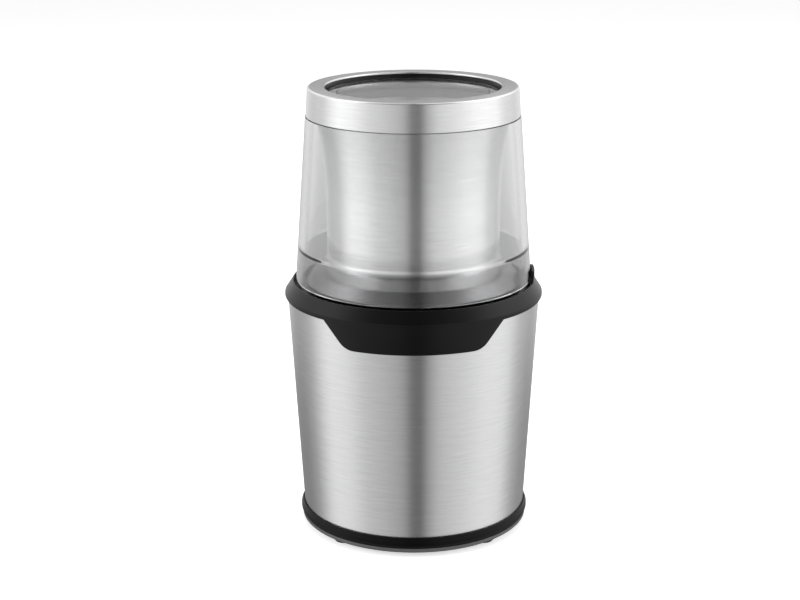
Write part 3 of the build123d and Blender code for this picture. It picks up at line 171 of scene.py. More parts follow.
def mouldedPlastic(name, look):
    board = Finish(name, IOR=1.49, Specular_IOR_Level=look["specular"], Metallic=0.0)
    grain = board.noise(board.place, look["grain"], 3.0, 0.6)
    cloud = board.noise(board.place, 35.0, 3.0)
    rubs = board.noise(board.vector(board.x * 90, board.y * 90, board.z * 420), 1.0, 4.0, 0.65)
    scuff = board.ramp(rubs, (0.62, 0.0), (0.78, 1.0))
    shade = ((cloud - 0.5) * 0.8 + (grain - 0.5) * 0.5 + 0.5).clamp()
    colour = board.mix(shade, look["dark"], look["light"])
    rough = (grain - 0.5) * 0.12 + scuff * 0.08 + look["rough"]
    relief = board.bump(grain, look["relief"], 0.00008)
    return board.link(Base_Color=colour, Roughness=rough, Normal=relief)


def clearPlastic(name, look):
    board = Finish(name, IOR=look["ior"], Transmission_Weight=1.0, Base_Color=(*look["tint"], 1))
    wave = board.noise(board.place, 38.0, 2.0)
    hair = board.noise(board.vector(board.x * 60, board.y * 60, board.z * 900), 1.0, 3.0)
    rough = board.ramp(hair, (0.55, 0.0), (0.8, 1.0)) * 0.05 + look["rough"]
    tint = board.mix(wave, look["tint"], look["tintLow"])
    foot = board.ramp((board.z - look["step"]) * 4000 + 0.5, (0.0, 1.0), (1.0, 0.0))
    tint = board.mix(foot, tint, look["foot"])  # below the step the wall is greyer and less clear
    rough = rough + foot * look["footRough"]
    relief = board.bump(wave, look["relief"], 0.0005)
    return board.link(Base_Color=tint, Roughness=rough, Normal=relief)


def turnedMetal(name, look):
    board = Finish(name, Metallic=1.0)
    along = board.z * 1.2 + board.radius
    lines = board.noise(board.vector(board.x * 120, board.y * 120, along * look["lines"]), 1.0, 2.0)
    blot = board.noise(board.place, look.get("blotScale", 240.0), 4.0, 0.6)
    tone = ((lines - 0.5) * look["contrast"] + (blot - 0.5) * look.get("blot", 0.8) + 0.5).clamp()
    colour = board.mix(tone, look["dark"], look["light"])
    rough = (blot - 0.5) * 0.25 + (lines - 0.5) * 0.1 + look["rough"]
    relief = board.bump(lines + blot * look.get("pits", 0.5), look["relief"], 0.00005)
    return board.link(Base_Color=colour, Roughness=rough, Normal=relief)


def stackedSheets(name, look):
    board = Finish(name, Metallic=0.9)
    band = (board.z * look["pitch"]).sum("FRACT")
    edge = (band - 0.5).sum("ABSOLUTE")
    rust = board.noise(board.place, 160.0, 5.0, 0.65)
    tone = (edge * 1.4 + (rust - 0.5) * 0.9).clamp()
    colour = board.mix(tone, look["light"], look["dark"])
    rough = rust * 0.3 + look["rough"]
    relief = board.bump(1 - edge * 2, 0.5, 0.0001)
    return board.link(Base_Color=colour, Roughness=rough, Normal=relief)


def woundWire(name, look):
    board = Finish(name, Metallic=0.85, Coat_Weight=0.35, Coat_Roughness=0.12)
    along = board.radius + board.z * 0.35
    if "loop" in look:  # wires that run round an opening in the YZ plane
        halfWide, halfTall, middle = look["loop"]
        beside = board.y.sum("ABSOLUTE") - halfWide
        above = (board.z - middle).sum("ABSOLUTE") - halfTall
        along = board.x.sum("ABSOLUTE") + beside.sum("MAXIMUM", above)
    along = along * look["pitch"]
    groove = (along.sum("FRACT") - 0.5).sum("ABSOLUTE") * 2  # 0 on top of a wire, 1 between two
    cloud = board.noise(board.place, 220.0, 3.0)
    # the colour goes dark between two wires: painted shade in the gaps, with a random cloud tone on top
    tone = (groove * 0.7 + (cloud - 0.5) * 0.5).clamp()
    colour = board.mix(tone, look["light"], look["dark"])
    relief = board.bump(1 - groove * groove, 0.9, 0.0002)
    return board.link(Base_Color=colour, Roughness=cloud * 0.2 + look["rough"], Normal=relief)


finishes = {
    "brushed_steel": brushedSteel("brushedSteel", {
        "dark": (0.56, 0.56, 0.565), "light": (0.7, 0.7, 0.7), "anisotropy": 0.82, "rough": 0.25,
        "fine": 3000.0, "broad": 1700.0, "contrast": 1.5, "relief": 0.07,
    }),
    "bowl_steel": brushedSteel("bowlSteel", {
        "dark": (0.6, 0.6, 0.605), "light": (0.76, 0.76, 0.76), "anisotropy": 0.8, "rough": 0.23,
        "fine": 3600.0, "broad": 1000.0, "contrast": 1.6, "relief": 0.06,
        # foot: the height below which the steel gets painted shade, and the colour of that shade
        "foot": (0.1288, (0.26, 0.26, 0.263)),
    }),
    "black_plastic": mouldedPlastic("blackPlastic", {
        "dark": (0.0008, 0.0008, 0.0009), "light": (0.0026, 0.0026, 0.0028), "rough": 0.3,
        "grain": 2600.0, "relief": 0.12, "specular": 0.2,
    }),
    "ring_plastic": mouldedPlastic("ringPlastic", {
        "dark": (0.0006, 0.0006, 0.0007), "light": (0.002, 0.002, 0.0022), "rough": 0.33,
        "grain": 2600.0, "relief": 0.12, "specular": 0.12,
    }),
    "cover_plastic": mouldedPlastic("coverPlastic", {
        "dark": (0.085, 0.085, 0.087), "light": (0.12, 0.12, 0.122), "rough": 0.42,
        "grain": 2200.0, "relief": 0.2, "specular": 0.5,
    }),
    "dark_plastic": mouldedPlastic("darkPlastic", {
        "dark": (0.018, 0.018, 0.02), "light": (0.04, 0.04, 0.043), "rough": 0.5, "grain": 1900.0,
        "relief": 0.3, "specular": 0.45,
    }),
    "clear_plastic": clearPlastic("clearPlastic", {
        "tint": (1.0, 1.0, 1.0), "tintLow": (0.985, 0.988, 0.988), "ior": 1.46, "rough": 0.004,
        "relief": 0.012, "step": 0.1334, "foot": (0.8, 0.8, 0.803), "footRough": 0.09,
    }),
    "rubber": mouldedPlastic("rubber", {
        "dark": (0.01, 0.01, 0.01), "light": (0.024, 0.023, 0.022), "rough": 0.72, "grain": 1500.0,
        "relief": 0.35, "specular": 0.3,
    }),
    "silicone": mouldedPlastic("silicone", {
        "dark": (0.52, 0.53, 0.52), "light": (0.66, 0.67, 0.66), "rough": 0.48, "grain": 1100.0,
        "relief": 0.15, "specular": 0.4,
    }),
    "zinc_screw": turnedMetal("zincPlate", {
        "dark": (0.48, 0.5, 0.54), "light": (0.74, 0.76, 0.78), "rough": 0.3, "lines": 2400.0,
        "contrast": 0.5, "relief": 0.25,
    }),
    "cast_aluminium": turnedMetal("castAluminium", {
        "dark": (0.38, 0.38, 0.39), "light": (0.62, 0.62, 0.63), "rough": 0.55, "lines": 300.0,
        "contrast": 0.1, "blot": 1.2, "blotScale": 420.0, "pits": 2.0, "relief": 0.6,
    }),
    "bronze": turnedMetal("sinteredBronze", {
        "dark": (0.33, 0.2, 0.09), "light": (0.62, 0.42, 0.2), "rough": 0.42, "lines": 1600.0,
        "contrast": 0.4, "blot": 1.2, "blotScale": 900.0, "pits": 1.4, "relief": 0.5,
    }),
    "lamination": stackedSheets("laminatedIron", {
        "dark": (0.07, 0.075, 0.085), "light": (0.36, 0.36, 0.37), "pitch": 2000.0, "rough": 0.38,
    }),
    "copper": woundWire("copperWire", {
        "dark": (0.25, 0.08, 0.03), "light": (0.78, 0.34, 0.17), "pitch": 1900.0, "rough": 0.22,
    }),
    "coil_copper": woundWire("coilWire", {
        "dark": (0.25, 0.08, 0.03), "light": (0.78, 0.34, 0.17), "pitch": 1700.0, "rough": 0.22,
        "loop": (0.0098, 0.0163, 0.06),
    }),
    "bar_copper": turnedMetal("barCopper", {
        "dark": (0.42, 0.18, 0.08), "light": (0.82, 0.42, 0.24), "rough": 0.26, "lines": 2600.0,
        "contrast": 0.8, "blot": 0.7, "relief": 0.2,
    }),
    "bare_steel": turnedMetal("bareSteel", {
        "dark": (0.4, 0.4, 0.41), "light": (0.66, 0.66, 0.67), "rough": 0.28, "lines": 3200.0,
        "contrast": 0.9, "relief": 0.3,
    }),
    "blade_steel": brushedSteel("bladeSteel", {
        "dark": (0.46, 0.46, 0.47), "light": (0.74, 0.74, 0.75), "anisotropy": 0.4, "rough": 0.24,
        "fine": 3000.0, "broad": 900.0, "contrast": 1.0, "relief": 0.12,
    }),
    "fan_plastic": mouldedPlastic("ivoryNylon", {
        "dark": (0.5, 0.48, 0.42), "light": (0.64, 0.62, 0.55), "rough": 0.45, "grain": 1500.0,
        "relief": 0.25, "specular": 0.5,
    }),
    "white_plastic": mouldedPlastic("whiteAcetal", {
        "dark": (0.62, 0.62, 0.6), "light": (0.76, 0.76, 0.74), "rough": 0.35, "grain": 1800.0,
        "relief": 0.15, "specular": 0.5,
    }),
    "carbon": mouldedPlastic("carbonBrush", {
        "dark": (0.012, 0.012, 0.013), "light": (0.05, 0.05, 0.052), "rough": 0.55, "grain": 3000.0,
        "relief": 0.5, "specular": 0.6,
    }),
    "switch_red": mouldedPlastic("redPlastic", {
        "dark": (0.38, 0.02, 0.015), "light": (0.55, 0.035, 0.025), "rough": 0.35, "grain": 1800.0,
        "relief": 0.15, "specular": 0.5,
    }),
    "capacitor_yellow": mouldedPlastic("yellowPlastic", {
        "dark": (0.6, 0.4, 0.05), "light": (0.75, 0.52, 0.09), "rough": 0.4, "grain": 1400.0,
        "relief": 0.2, "specular": 0.5,
    }),
}
print("materials", len(finishes))


# the shaping functions take millimetres
def rounded(points, rounds, arc=7, lead=0.4, closed=True):
    # corners with a radius become arcs, with a point beside each arc so that the flats stay flat
    path, count = [], len(points)
    for index, point in enumerate(points):
        radius = rounds.get(index, 0)
        if not radius or (not closed and index in (0, count - 1)):
            path.append(tuple(point))
            continue
        here = Vector(point)
        back = Vector(points[index - 1]) - here
        ahead = Vector(points[(index + 1) % count]) - here
        half = back.angle(ahead) / 2
        reach = radius / math.tan(half)
        centre = here + (back.normalized() + ahead.normalized()).normalized() * (radius / math.sin(half))
        start, end = here + back.normalized() * reach, here + ahead.normalized() * reach
        if back.length - reach > 2.2 * lead:
            path.append(tuple(start + back.normalized() * lead))
        first, last = start - centre, end - centre
        turn = first.angle_signed(last)
        for step in range(arc + 1):
            angle = -turn * step / arc
            spot = centre + Vector((
                first.x * math.cos(angle) - first.y * math.sin(angle),
                first.x * math.sin(angle) + first.y * math.cos(angle),
            ))
            path.append(tuple(spot))
        if ahead.length - reach > 2.2 * lead:
            path.append(tuple(end + ahead.normalized() * lead))
    return path


def linked(name, mesh):
    made = bpy.data.objects.new(name, mesh)
    bpy.context.scene.collection.objects.link(made)
    return made


def meshObject(name, bm, sharp=sharpAngle):
    bmesh.ops.remove_doubles(bm, verts=bm.verts, dist=1e-7)
    bmesh.ops.recalc_face_normals(bm, faces=bm.faces)
    for face in bm.faces:
        face.smooth = True
    mesh = bpy.data.meshes.new(name)
    bm.to_mesh(mesh)
    bm.free()
    mesh.set_sharp_from_angle(angle=math.radians(sharp))
    return linked(name, mesh)


def turned(name, profile, steps=192, closed=True, centre=(0, 0)):
    # a profile of (radius, height) turned round an upright axis
    bm = bmesh.new()
    rows = []
    for step in range(steps):
        angle = 2 * math.pi * step / steps
        across, deep = math.cos(angle), math.sin(angle)
        rows.append([
            bm.verts.new(((centre[0] + r * across) * mm, (centre[1] + r * deep) * mm, z * mm))
            for r, z in profile
        ])
    count = len(profile)
    for step in range(steps):
        here, after = rows[step], rows[(step + 1) % steps]
        for index in range(count if closed else count - 1):
            following = (index + 1) % count
            onAxis = profile[index][0] < 1e-6 and profile[following][0] < 1e-6
            if not onAxis:
                bm.faces.new((here[index], after[index], after[following], here[following]))
    return meshObject(name, bm)


def settle(piece, sharp=sharpAngle):
    # the piece's modifiers become plain mesh
    piece.data.update()
    evaluated = piece.evaluated_get(bpy.context.evaluated_depsgraph_get())
    mesh = bpy.data.meshes.new_from_object(evaluated)
    piece.modifiers.clear()
    old = piece.data
    piece.data = mesh
    bpy.data.meshes.remove(old)
    if sharp:  # otherwise the modifier's own normals stay
        for polygon in mesh.polygons:
            polygon.use_smooth = True
        mesh.set_sharp_from_angle(angle=math.radians(sharp))
    return piece


def carve(piece, *cutters):
    for cutter in cutters:
        tool = piece.modifiers.new("cut", "BOOLEAN")
        tool.object, tool.operation, tool.solver = cutter, "DIFFERENCE", "EXACT"
    settle(piece)
    for cutter in cutters:
        bpy.data.objects.remove(cutter)
    return piece


def joined(name, *pieces):
    bm = bmesh.new()
    for piece in pieces:
        bm.from_mesh(piece.data)
        bpy.data.objects.remove(piece)
    mesh = bpy.data.meshes.new(name)
    bm.to_mesh(mesh)
    bm.free()
    mesh.set_sharp_from_angle(angle=math.radians(sharpAngle))
    return linked(name, mesh)


def bevelled(piece, width, segments=3, limit=50.0):
    soft = piece.modifiers.new("soft", "BEVEL")
    soft.width, soft.segments = width * mm, segments
    soft.limit_method, soft.angle_limit = "ANGLE", math.radians(limit)
    return soft


def thickened(piece, depth, outward):
    # an open sheet faces outward and gets its thickness on the inner side
    if piece.data.polygons[len(piece.data.polygons) // 2].normal.dot(Vector(outward)) < 0:
        piece.data.flip_normals()
    thick = piece.modifiers.new("thick", "SOLIDIFY")
    thick.thickness, thick.offset = depth * mm, -1


def coat(piece, finish):
    piece.data.materials.clear()
    piece.data.materials.append(finishes[finish])


def dress(piece, body, finish, member):
    # the piece stands for a node, which keeps the same finish
    coat(piece, finish)
    coat(nodes[member], finish)
    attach(piece, body)
    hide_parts(member)


def rod(name, radius, low, high, centre=(0, 0), steps=32):
    return turned(name, [(0, low), (radius, low), (radius, high), (0, high)], steps, False, centre)


def block(name, low, high, spin=0.0):
    # an upright box between two corners, turned about the upright axis
    bm = bmesh.new()
    bmesh.ops.create_cube(bm, size=1.0)
    for vert in bm.verts:
        vert.co = [(a + (b - a) * (share + 0.5)) * mm for a, b, share in zip(low, high, vert.co)]
    bm.transform(Matrix.Rotation(math.radians(spin), 4, "Z"))
    return meshObject(name, bm)


def softened(member, width):
    # a copy of a node with its triangles merged into flats and its edges rounded
    sharp = 28.0
    bm = bmesh.new()
    bm.from_mesh(nodes[member].data)
    bmesh.ops.remove_doubles(bm, verts=bm.verts, dist=2e-6)
    bmesh.ops.dissolve_limit(bm, angle_limit=math.radians(0.6), verts=bm.verts, edges=bm.edges)
    words = member.split("_")
    piece = meshObject(words[0] + "".join(word.capitalize() for word in words[1:]) + "Soft", bm, sharp)
    bevelled(piece, width, 2, sharp).harden_normals = True
    return settle(piece, None)


def newTree(name, inputs):  # starts a geometry node tree
    tree = bpy.data.node_groups.new(name, "GeometryNodeTree")
    tree.interface.new_socket(name="Geometry", in_out="INPUT", socket_type="NodeSocketGeometry")
    for label, kind, value in inputs:
        socket = tree.interface.new_socket(name=label, in_out="INPUT", socket_type="NodeSocket" + kind)
        if value is not None:
            socket.default_value = value
    tree.interface.new_socket(name="Material", in_out="INPUT", socket_type="NodeSocketMaterial")
    tree.interface.new_socket(name="Geometry", in_out="OUTPUT", socket_type="NodeSocketGeometry")
    board = Board(tree)
    source = board.node("NodeGroupInput")
    return board, source


def closeTree(board, source, shape):  # ends it with real, coated mesh
    real = board.node("GeometryNodeRealizeInstances", None, {0: shape})
    done = board.node("GeometryNodeSetMaterial", None, {0: real, "Material": source.out("Material")})
    board.tree.nodes.new("NodeGroupOutput")
    board.tree.links.new(done.socket, board.tree.nodes["Group Output"].inputs[0])
    return board.tree


def grow(name, tree, values, sharp=sharpAngle):
    # runs a tree and keeps its result as a plain mesh
    holder = linked(name, bpy.data.meshes.new(name))
    modifier = holder.modifiers.new("tree", "NODES")
    modifier.node_group = tree
    for item in tree.interface.items_tree:
        if item.in_out == "INPUT" and item.name in values:
            modifier[item.identifier] = values[item.name]
    holder.update_tag()
    return settle(holder, sharp)


def taperedWallTree():
    board, source = newTree("taperedWall", [
        ("Bottom Radius", "Float", 0.05), ("Top Radius", "Float", 0.06), ("Bottom", "Float", 0.0),
        ("Top", "Float", 0.1), ("Columns", "Int", 180), ("Rows", "Int", 20),
        ("Notch Columns", "Float", 3.0), ("Notch Rows", "Float", 4.0),
    ])
    columns, rows = source.out("Columns"), source.out("Rows")
    grid = board.node("GeometryNodeMeshGrid", None, {
        "Size X": 1.0, "Size Y": 1.0, "Vertices X": columns + 1, "Vertices Y": rows + 1,
    })
    spot = board.node("ShaderNodeSeparateXYZ", None, {0: board.node("GeometryNodeInputPosition")})
    across, up = spot + 0.5, spot.out("Y") + 0.5
    middle = (across - 0.5).sum("ABSOLUTE")  # 0.5 at the seam, at the back
    inNotch = ((0.5 - middle) * columns).sum("LESS_THAN", source.out("Notch Columns"))
    low = (up * rows).sum("LESS_THAN", source.out("Notch Rows"))
    opened = board.node("GeometryNodeDeleteGeometry", {"domain": "FACE"}, {0: grid, 1: inNotch * low})
    angle = across * (2 * math.pi) + math.pi / 2
    radius = source.out("Bottom Radius") + up * (source.out("Top Radius") - source.out("Bottom Radius"))
    height = source.out("Bottom") + up * (source.out("Top") - source.out("Bottom"))
    spot = board.vector(radius * angle.sum("COSINE"), radius * angle.sum("SINE"), height)
    rolled = board.node("GeometryNodeSetPosition", None, {0: opened, "Position": spot})
    merged = board.node("GeometryNodeMergeByDistance", None, {0: rolled, "Distance": 1e-6})
    return closeTree(board, source, merged)


def itemOf(board, source):  # the mesh of the tree's Item input
    return board.node("GeometryNodeObjectInfo", {"transform_space": "ORIGINAL"},
                      {"Object": source.out("Item")}, out="Geometry")


def polarTree():
    board, source = newTree("polarRow", [
        ("Item", "Object", None), ("Count", "Int", 4), ("Circle", "Float", 0.05), ("Start", "Float", 0.0),
    ])
    ring = board.node("GeometryNodeMeshCircle", None, {
        "Vertices": source.out("Count"), "Radius": source.out("Circle"),
    })
    turnedRing = board.node("GeometryNodeTransform", None, {
        0: ring, "Rotation": board.vector(0.0, 0.0, source.out("Start")),
    })
    index = board.node("GeometryNodeInputIndex")
    facing = index * (2 * math.pi) / source.out("Count") + source.out("Start")
    row = board.node("GeometryNodeInstanceOnPoints", None, {
        "Points": turnedRing, "Instance": itemOf(board, source), "Rotation": board.vector(0.0, 0.0, facing),
    })
    return closeTree(board, source, row)


def gridTree():
    board, source = newTree("gridRow", [
        ("Item", "Object", None), ("Across", "Int", 2), ("Deep", "Int", 2),
        ("Width", "Float", 0.05), ("Depth", "Float", 0.05), ("Middle", "Vector", (0, 0, 0)),
    ])
    points = board.node("GeometryNodeMeshGrid", None, {
        "Size X": source.out("Width"), "Size Y": source.out("Depth"),
        "Vertices X": source.out("Across"), "Vertices Y": source.out("Deep"),
    })
    moved = board.node("GeometryNodeTransform", None, {0: points, "Translation": source.out("Middle")})
    row = board.node("GeometryNodeInstanceOnPoints", None, {
        "Points": moved, "Instance": itemOf(board, source),
    })
    return closeTree(board, source, row)


def helixTree():
    board, source = newTree("springHelix", [
        ("Turns", "Float", 6.0), ("Coil Radius", "Float", 0.001), ("Height", "Float", 0.006),
        ("Wire", "Float", 0.0002), ("Steps", "Int", 28), ("Sides", "Int", 10),
    ])
    helix = board.node("GeometryNodeCurveSpiral", None, {
        "Resolution": source.out("Steps"), "Rotations": source.out("Turns"), "Height": source.out("Height"),
        "Start Radius": source.out("Coil Radius"), "End Radius": source.out("Coil Radius"),
    })
    section = board.node("GeometryNodeCurvePrimitiveCircle", None, {
        "Resolution": source.out("Sides"), "Radius": source.out("Wire"),
    })
    wire = board.node("GeometryNodeCurveToMesh", None, {
        0: helix, "Profile Curve": section, "Fill Caps": True,
    })
    return closeTree(board, source, wire)


trees = {"wall": taperedWallTree(), "polar": polarTree(), "grid": gridTree(), "helix": helixTree()}


def ringOf(name, item, count, circle, start=0.0):
    made = grow(name, trees["polar"], {
        "Item": item, "Count": count, "Circle": circle * mm, "Start": math.radians(start),
    })
    bpy.data.objects.remove(item)
    return made


def pairOf(name, item, across, deep, width, depth, middle=(0, 0, 0)):
    made = grow(name, trees["grid"], {
        "Item": item, "Across": across, "Deep": deep, "Width": width * mm, "Depth": depth * mm,
        "Middle": tuple(value * mm for value in middle),
    })
    bpy.data.objects.remove(item)
    return made


def spring(name, look, low, high):
    # a helix along Z from low to high whose wire stays inside both ends
    wire = look["wire"] / 2
    return grow(name, trees["helix"], {
        "Turns": look["turns"], "Coil Radius": look["radius"] * mm, "Wire": wire * mm,
        "Height": (high - low - 2 * wire) * mm, "Steps": 28, "Sides": 10,
    }, 60.0)


def placed(piece, *moves):
    for move in moves:
        piece.data.transform(move)
    return piece


def shifted(x, y, z):
    return Matrix.Translation(Vector((x, y, z)) * mm)


def screwItem(look):
    # a pan head at low, a shank with thread ridges up to high, and a cross recess
    head, tall, shank, pitch = look["head"], look["tall"], look["shank"], look["pitch"]
    low, high = look["low"], look["high"]
    root = shank * 0.8
    profile = [
        (0, low), (head * 0.55, low), (head * 0.85, low + tall * 0.18), (head, low + tall * 0.55),
        (head, low + tall),
    ]
    level = look.get("thread", low + tall + 0.4)
    profile += [(shank, low + tall), (shank, level)]
    while level + pitch < high - shank * 0.6:
        profile += [(root, level + pitch * 0.3), (root, level + pitch * 0.5), (shank, level + pitch * 0.8),
                    (shank, level + pitch)]
        level += pitch
    profile += [(root, level + pitch * 0.3), (root, high - 0.3), (root - 0.35, high), (0, high)]
    item = turned("screwItem", profile, 28, False)
    arm, slit = head * 0.52, head * 0.13
    deep = low + tall * 0.6
    return carve(item, block("slitCut", (-arm, -slit, low - 1), (arm, slit, deep)),
                 block("slitCut", (-slit, -arm, low - 1), (slit, arm, deep)))


# steel housing
housing = {
    "bottomRadius": 52.2, "topRadius": 58.3, "bottom": 7.5, "top": 111.0, "wall": 0.6,
    "columns": 190, "rows": 21, "notchColumns": 3, "notchRows": 4,
}
housingWall = grow("housingWall", trees["wall"], {
    "Bottom Radius": housing["bottomRadius"] * mm, "Top Radius": housing["topRadius"] * mm,
    "Bottom": housing["bottom"] * mm, "Top": housing["top"] * mm,
    "Columns": housing["columns"], "Rows": housing["rows"],
    "Notch Columns": housing["notchColumns"] + 0.01, "Notch Rows": housing["notchRows"] + 0.01,
})
skin = bmesh.new()
skin.from_mesh(housingWall.data)
bmesh.ops.recalc_face_normals(skin, faces=skin.faces)
skin.to_mesh(housingWall.data)
skin.free()
thickened(housingWall, housing["wall"], (0, -1, 0))
settle(housingWall)
dress(housingWall, "base", "brushed_steel", "housing_shell")


def wallRadius(height):
    share = (height - housing["bottom"]) / (housing["top"] - housing["bottom"])
    return housing["bottomRadius"] + share * (housing["topRadius"] - housing["bottomRadius"])


print("housing")

# base ring with room for the posts of the bottom cover
ring = {"floor": 45.0, "grooveOuter": 52.66, "spigot": 51.3, "postX": 19.018, "postY": 40.784, "post": 5.8}
ringProfile = rounded([
    (ring["floor"], 4.5), (52.9, 4.5), (53.9, 6.0), (53.9, 7.6), (53.0, 9.6), (ring["grooveOuter"], 9.6),
    (ring["grooveOuter"], 7.2), (ring["spigot"], 7.2), (ring["spigot"], 14.0), (49.7, 14.0), (49.7, 6.7),
    (ring["floor"], 6.7),
], {1: 0.4, 2: 1.2, 3: 1.4, 4: 0.12, 5: 0.05, 8: 0.3, 9: 0.3})
baseRing = turned("baseRing", ringProfile)
postPlaces = [(x, y) for x in (-ring["postX"], ring["postX"]) for y in (-ring["postY"], ring["postY"])]
carve(baseRing, *[rod("postCut", ring["post"], 4.0, 7.6, place, 48) for place in postPlaces])
dress(baseRing, "base", "ring_plastic", "base_ring")

# rubber feet, each a stem under a wider flange
foot = {"circle": 45.5, "count": 4, "start": 45.0, "stem": 4.9, "flange": 6.0}
footItem = turned("footItem", rounded([
    (0, 0.35), (2.4, 0.35), (2.9, 0.0), (4.4, 0.0), (foot["stem"], 0.6), (foot["stem"], 2.45),
    (foot["flange"], 2.52), (foot["flange"], 3.3), (0, 3.3),
], {2: 0.3, 3: 0.3, 4: 0.3, 6: 0.1, 7: 0.2}, closed=False), 48, False)
feet = ringOf("feetPads", footItem, foot["count"], foot["circle"], foot["start"])
dress(feet, "base", "rubber", "feet")
print("base")

# collar with its apron, lid guide and screw posts
collar = {"apronTop": 111.2, "apronBottom": 98.5, "halfTop": 40.4, "halfBottom": 30.2, "corner": 8.0,
          "proud": 1.3, "gap": 0.3, "columns": 64, "rodPlace": 53.311, "posts": 3, "postStart": 90.0}
collarProfile = rounded([
    (49.911, 101.0), (49.911, 115.3), (55.311, 115.3), (55.311, 118.0), (56.011, 118.0), (59.7, 112.4),
    (59.7, 111.2), (59.25, 110.4), (58.6, 110.4), (58.6, 111.3), (56.811, 111.3), (56.811, 101.0),
    (55.311, 101.0), (55.311, 112.8), (51.311, 112.8), (51.311, 101.0),
], {1: 0.4, 2: 0.3, 3: 0.2, 4: 0.45, 5: 0.9, 6: 0.6, 7: 0.25, 8: 0.15})
collarRing = turned("collarRing", collarProfile)
carve(collarRing, rod("rodHole", 1.05, 112.0, 116.0, (collar["rodPlace"], 0)))


def apronPlate():
    outline = rounded([
        (collar["halfTop"], collar["apronTop"]), (collar["halfBottom"], collar["apronBottom"]),
        (0, collar["apronBottom"]),
    ], {1: collar["corner"]}, arc=10, lead=0.0, closed=False)
    bm = bmesh.new()
    rows = []
    edge = [(x, z) for x, z in outline if x > 0.5]
    for halfWidth, height in edge:
        radius = wallRadius(height) + collar["proud"]
        row = []
        for step in range(collar["columns"] + 1):
            x = halfWidth * (2 * step / collar["columns"] - 1)
            row.append(bm.verts.new((x * mm, -math.sqrt(radius * radius - x * x) * mm, height * mm)))
        rows.append(row)
    for upper, lower in zip(rows, rows[1:]):
        for step in range(collar["columns"]):
            corners = (upper[step], lower[step], lower[step + 1], upper[step + 1])
            if any((corners[a].co - corners[b].co).length > 1e-7 for a, b in ((0, 1), (3, 2))):
                bm.faces.new(corners)
    plate = meshObject("apronPlate", bm)
    thickened(plate, collar["proud"] - collar["gap"], (0, -1, 0))
    bevelled(plate, 0.35)
    return settle(plate)


guide = {"outer": 56.111, "thick": 1.2, "half": 13.0, "flat": 6.5, "foot": 117.0, "top": 122.3, "drop": 4.6,
         "columns": 44, "levels": 6}  # half and flat are degrees from +X


def guideFin():
    # a tab on the shelf whose top falls in a soft S to both its ends
    bm = bmesh.new()
    rows = []
    for step in range(guide["columns"] + 1):
        degrees = -guide["half"] + 2 * guide["half"] * step / guide["columns"]
        share = min(max((abs(degrees) - guide["flat"]) / (guide["half"] - guide["flat"]), 0), 1)
        rise = guide["top"] - guide["drop"] * share * share * (3 - 2 * share) - guide["foot"]
        x, y = [guide["outer"] * turn(math.radians(degrees)) * mm for turn in (math.cos, math.sin)]
        rows.append([
            bm.verts.new((x, y, (guide["foot"] + rise * level / guide["levels"]) * mm))
            for level in range(guide["levels"] + 1)
        ])
    for here, after in zip(rows, rows[1:]):
        for level in range(guide["levels"]):
            bm.faces.new((here[level], after[level], after[level + 1], here[level + 1]))
    fin = meshObject("guideFin", bm)
    thickened(fin, guide["thick"], (1, 0, 0))
    bevelled(fin, 0.3)
    return settle(fin)


screwPost = turned("screwPost", [(1.12, 101.0), (2.4, 101.0), (2.4, 112.9), (1.12, 112.9)], 32)
posts = ringOf("collarPosts", screwPost, collar["posts"], collar["rodPlace"], collar["postStart"])
collarBody = joined("collarBody", collarRing, apronPlate(), guideFin(), posts)
dress(collarBody, "base", "black_plastic", "collar")
print("collar")

# steel cup of the bowl
bowl = {"foot": 49.511, "footBottom": 117.0, "straightTop": 154.0, "straight": 39.911, "rim": 44.523,
        "rimTop": 195.5, "wall": 0.8, "bead": 0.6, "flareSteps": 22}


def flare(height, offset=0.0):
    # outer radius of the cup above its upright part, an arc that starts upright
    rise, out = bowl["rimTop"] - bowl["straightTop"], bowl["rim"] - bowl["straight"]
    curve = (rise * rise + out * out) / (2 * out)
    level = height - bowl["straightTop"]
    return bowl["straight"] + curve - math.sqrt(curve * curve - level * level) - offset


flareRise = bowl["rimTop"] - 1.1 - bowl["straightTop"]  # up to where the rim rolls over
flareHeights = [
    bowl["straightTop"] + flareRise * index / bowl["flareSteps"] for index in range(bowl["flareSteps"] + 1)
]
outerFlare = [(flare(height), height) for height in flareHeights]
innerFlare = [(flare(height, bowl["wall"]), height) for height in reversed(flareHeights)]
beadRadius, beadHeight = bowl["rim"] - 0.05, bowl["rimTop"] - bowl["bead"]
beadAngles = [math.radians(degrees) for degrees in range(-60, 151, 21)]
bead = [
    (beadRadius + bowl["bead"] * math.cos(angle), beadHeight + bowl["bead"] * math.sin(angle))
    for angle in beadAngles
]
cupOutside = rounded([  # a cone from the shelf up to the straight part
    (bowl["foot"] - bowl["wall"], bowl["footBottom"]), (bowl["foot"], bowl["footBottom"]),
    (bowl["foot"], 118.4), (45.95, 123.5), (45.7, 123.6), (39.7, 128.9), (bowl["straight"], 153.0),
], {1: 0.25, 2: 0.8, 3: 0.12, 4: 0.1, 5: 6.0}, arc=12, closed=False)
cupInside = rounded([  # down to the floor, through the bushing's hole and back under the cone
    (39.1, 153.0), (38.811, 128.0), (6.35, 128.0), (6.35, 127.2), (40.5, 127.2), (48.711, 118.0),
    (bowl["foot"] - bowl["wall"], bowl["footBottom"]),
], {1: 3.0, 5: 0.4}, arc=8, closed=False)
bowlCup = turned("bowlCup", cupOutside[:-1] + outerFlare + bead + innerFlare + cupInside[1:-1])
dress(bowlCup, "bowl", "bowl_steel", "bowl_cup")

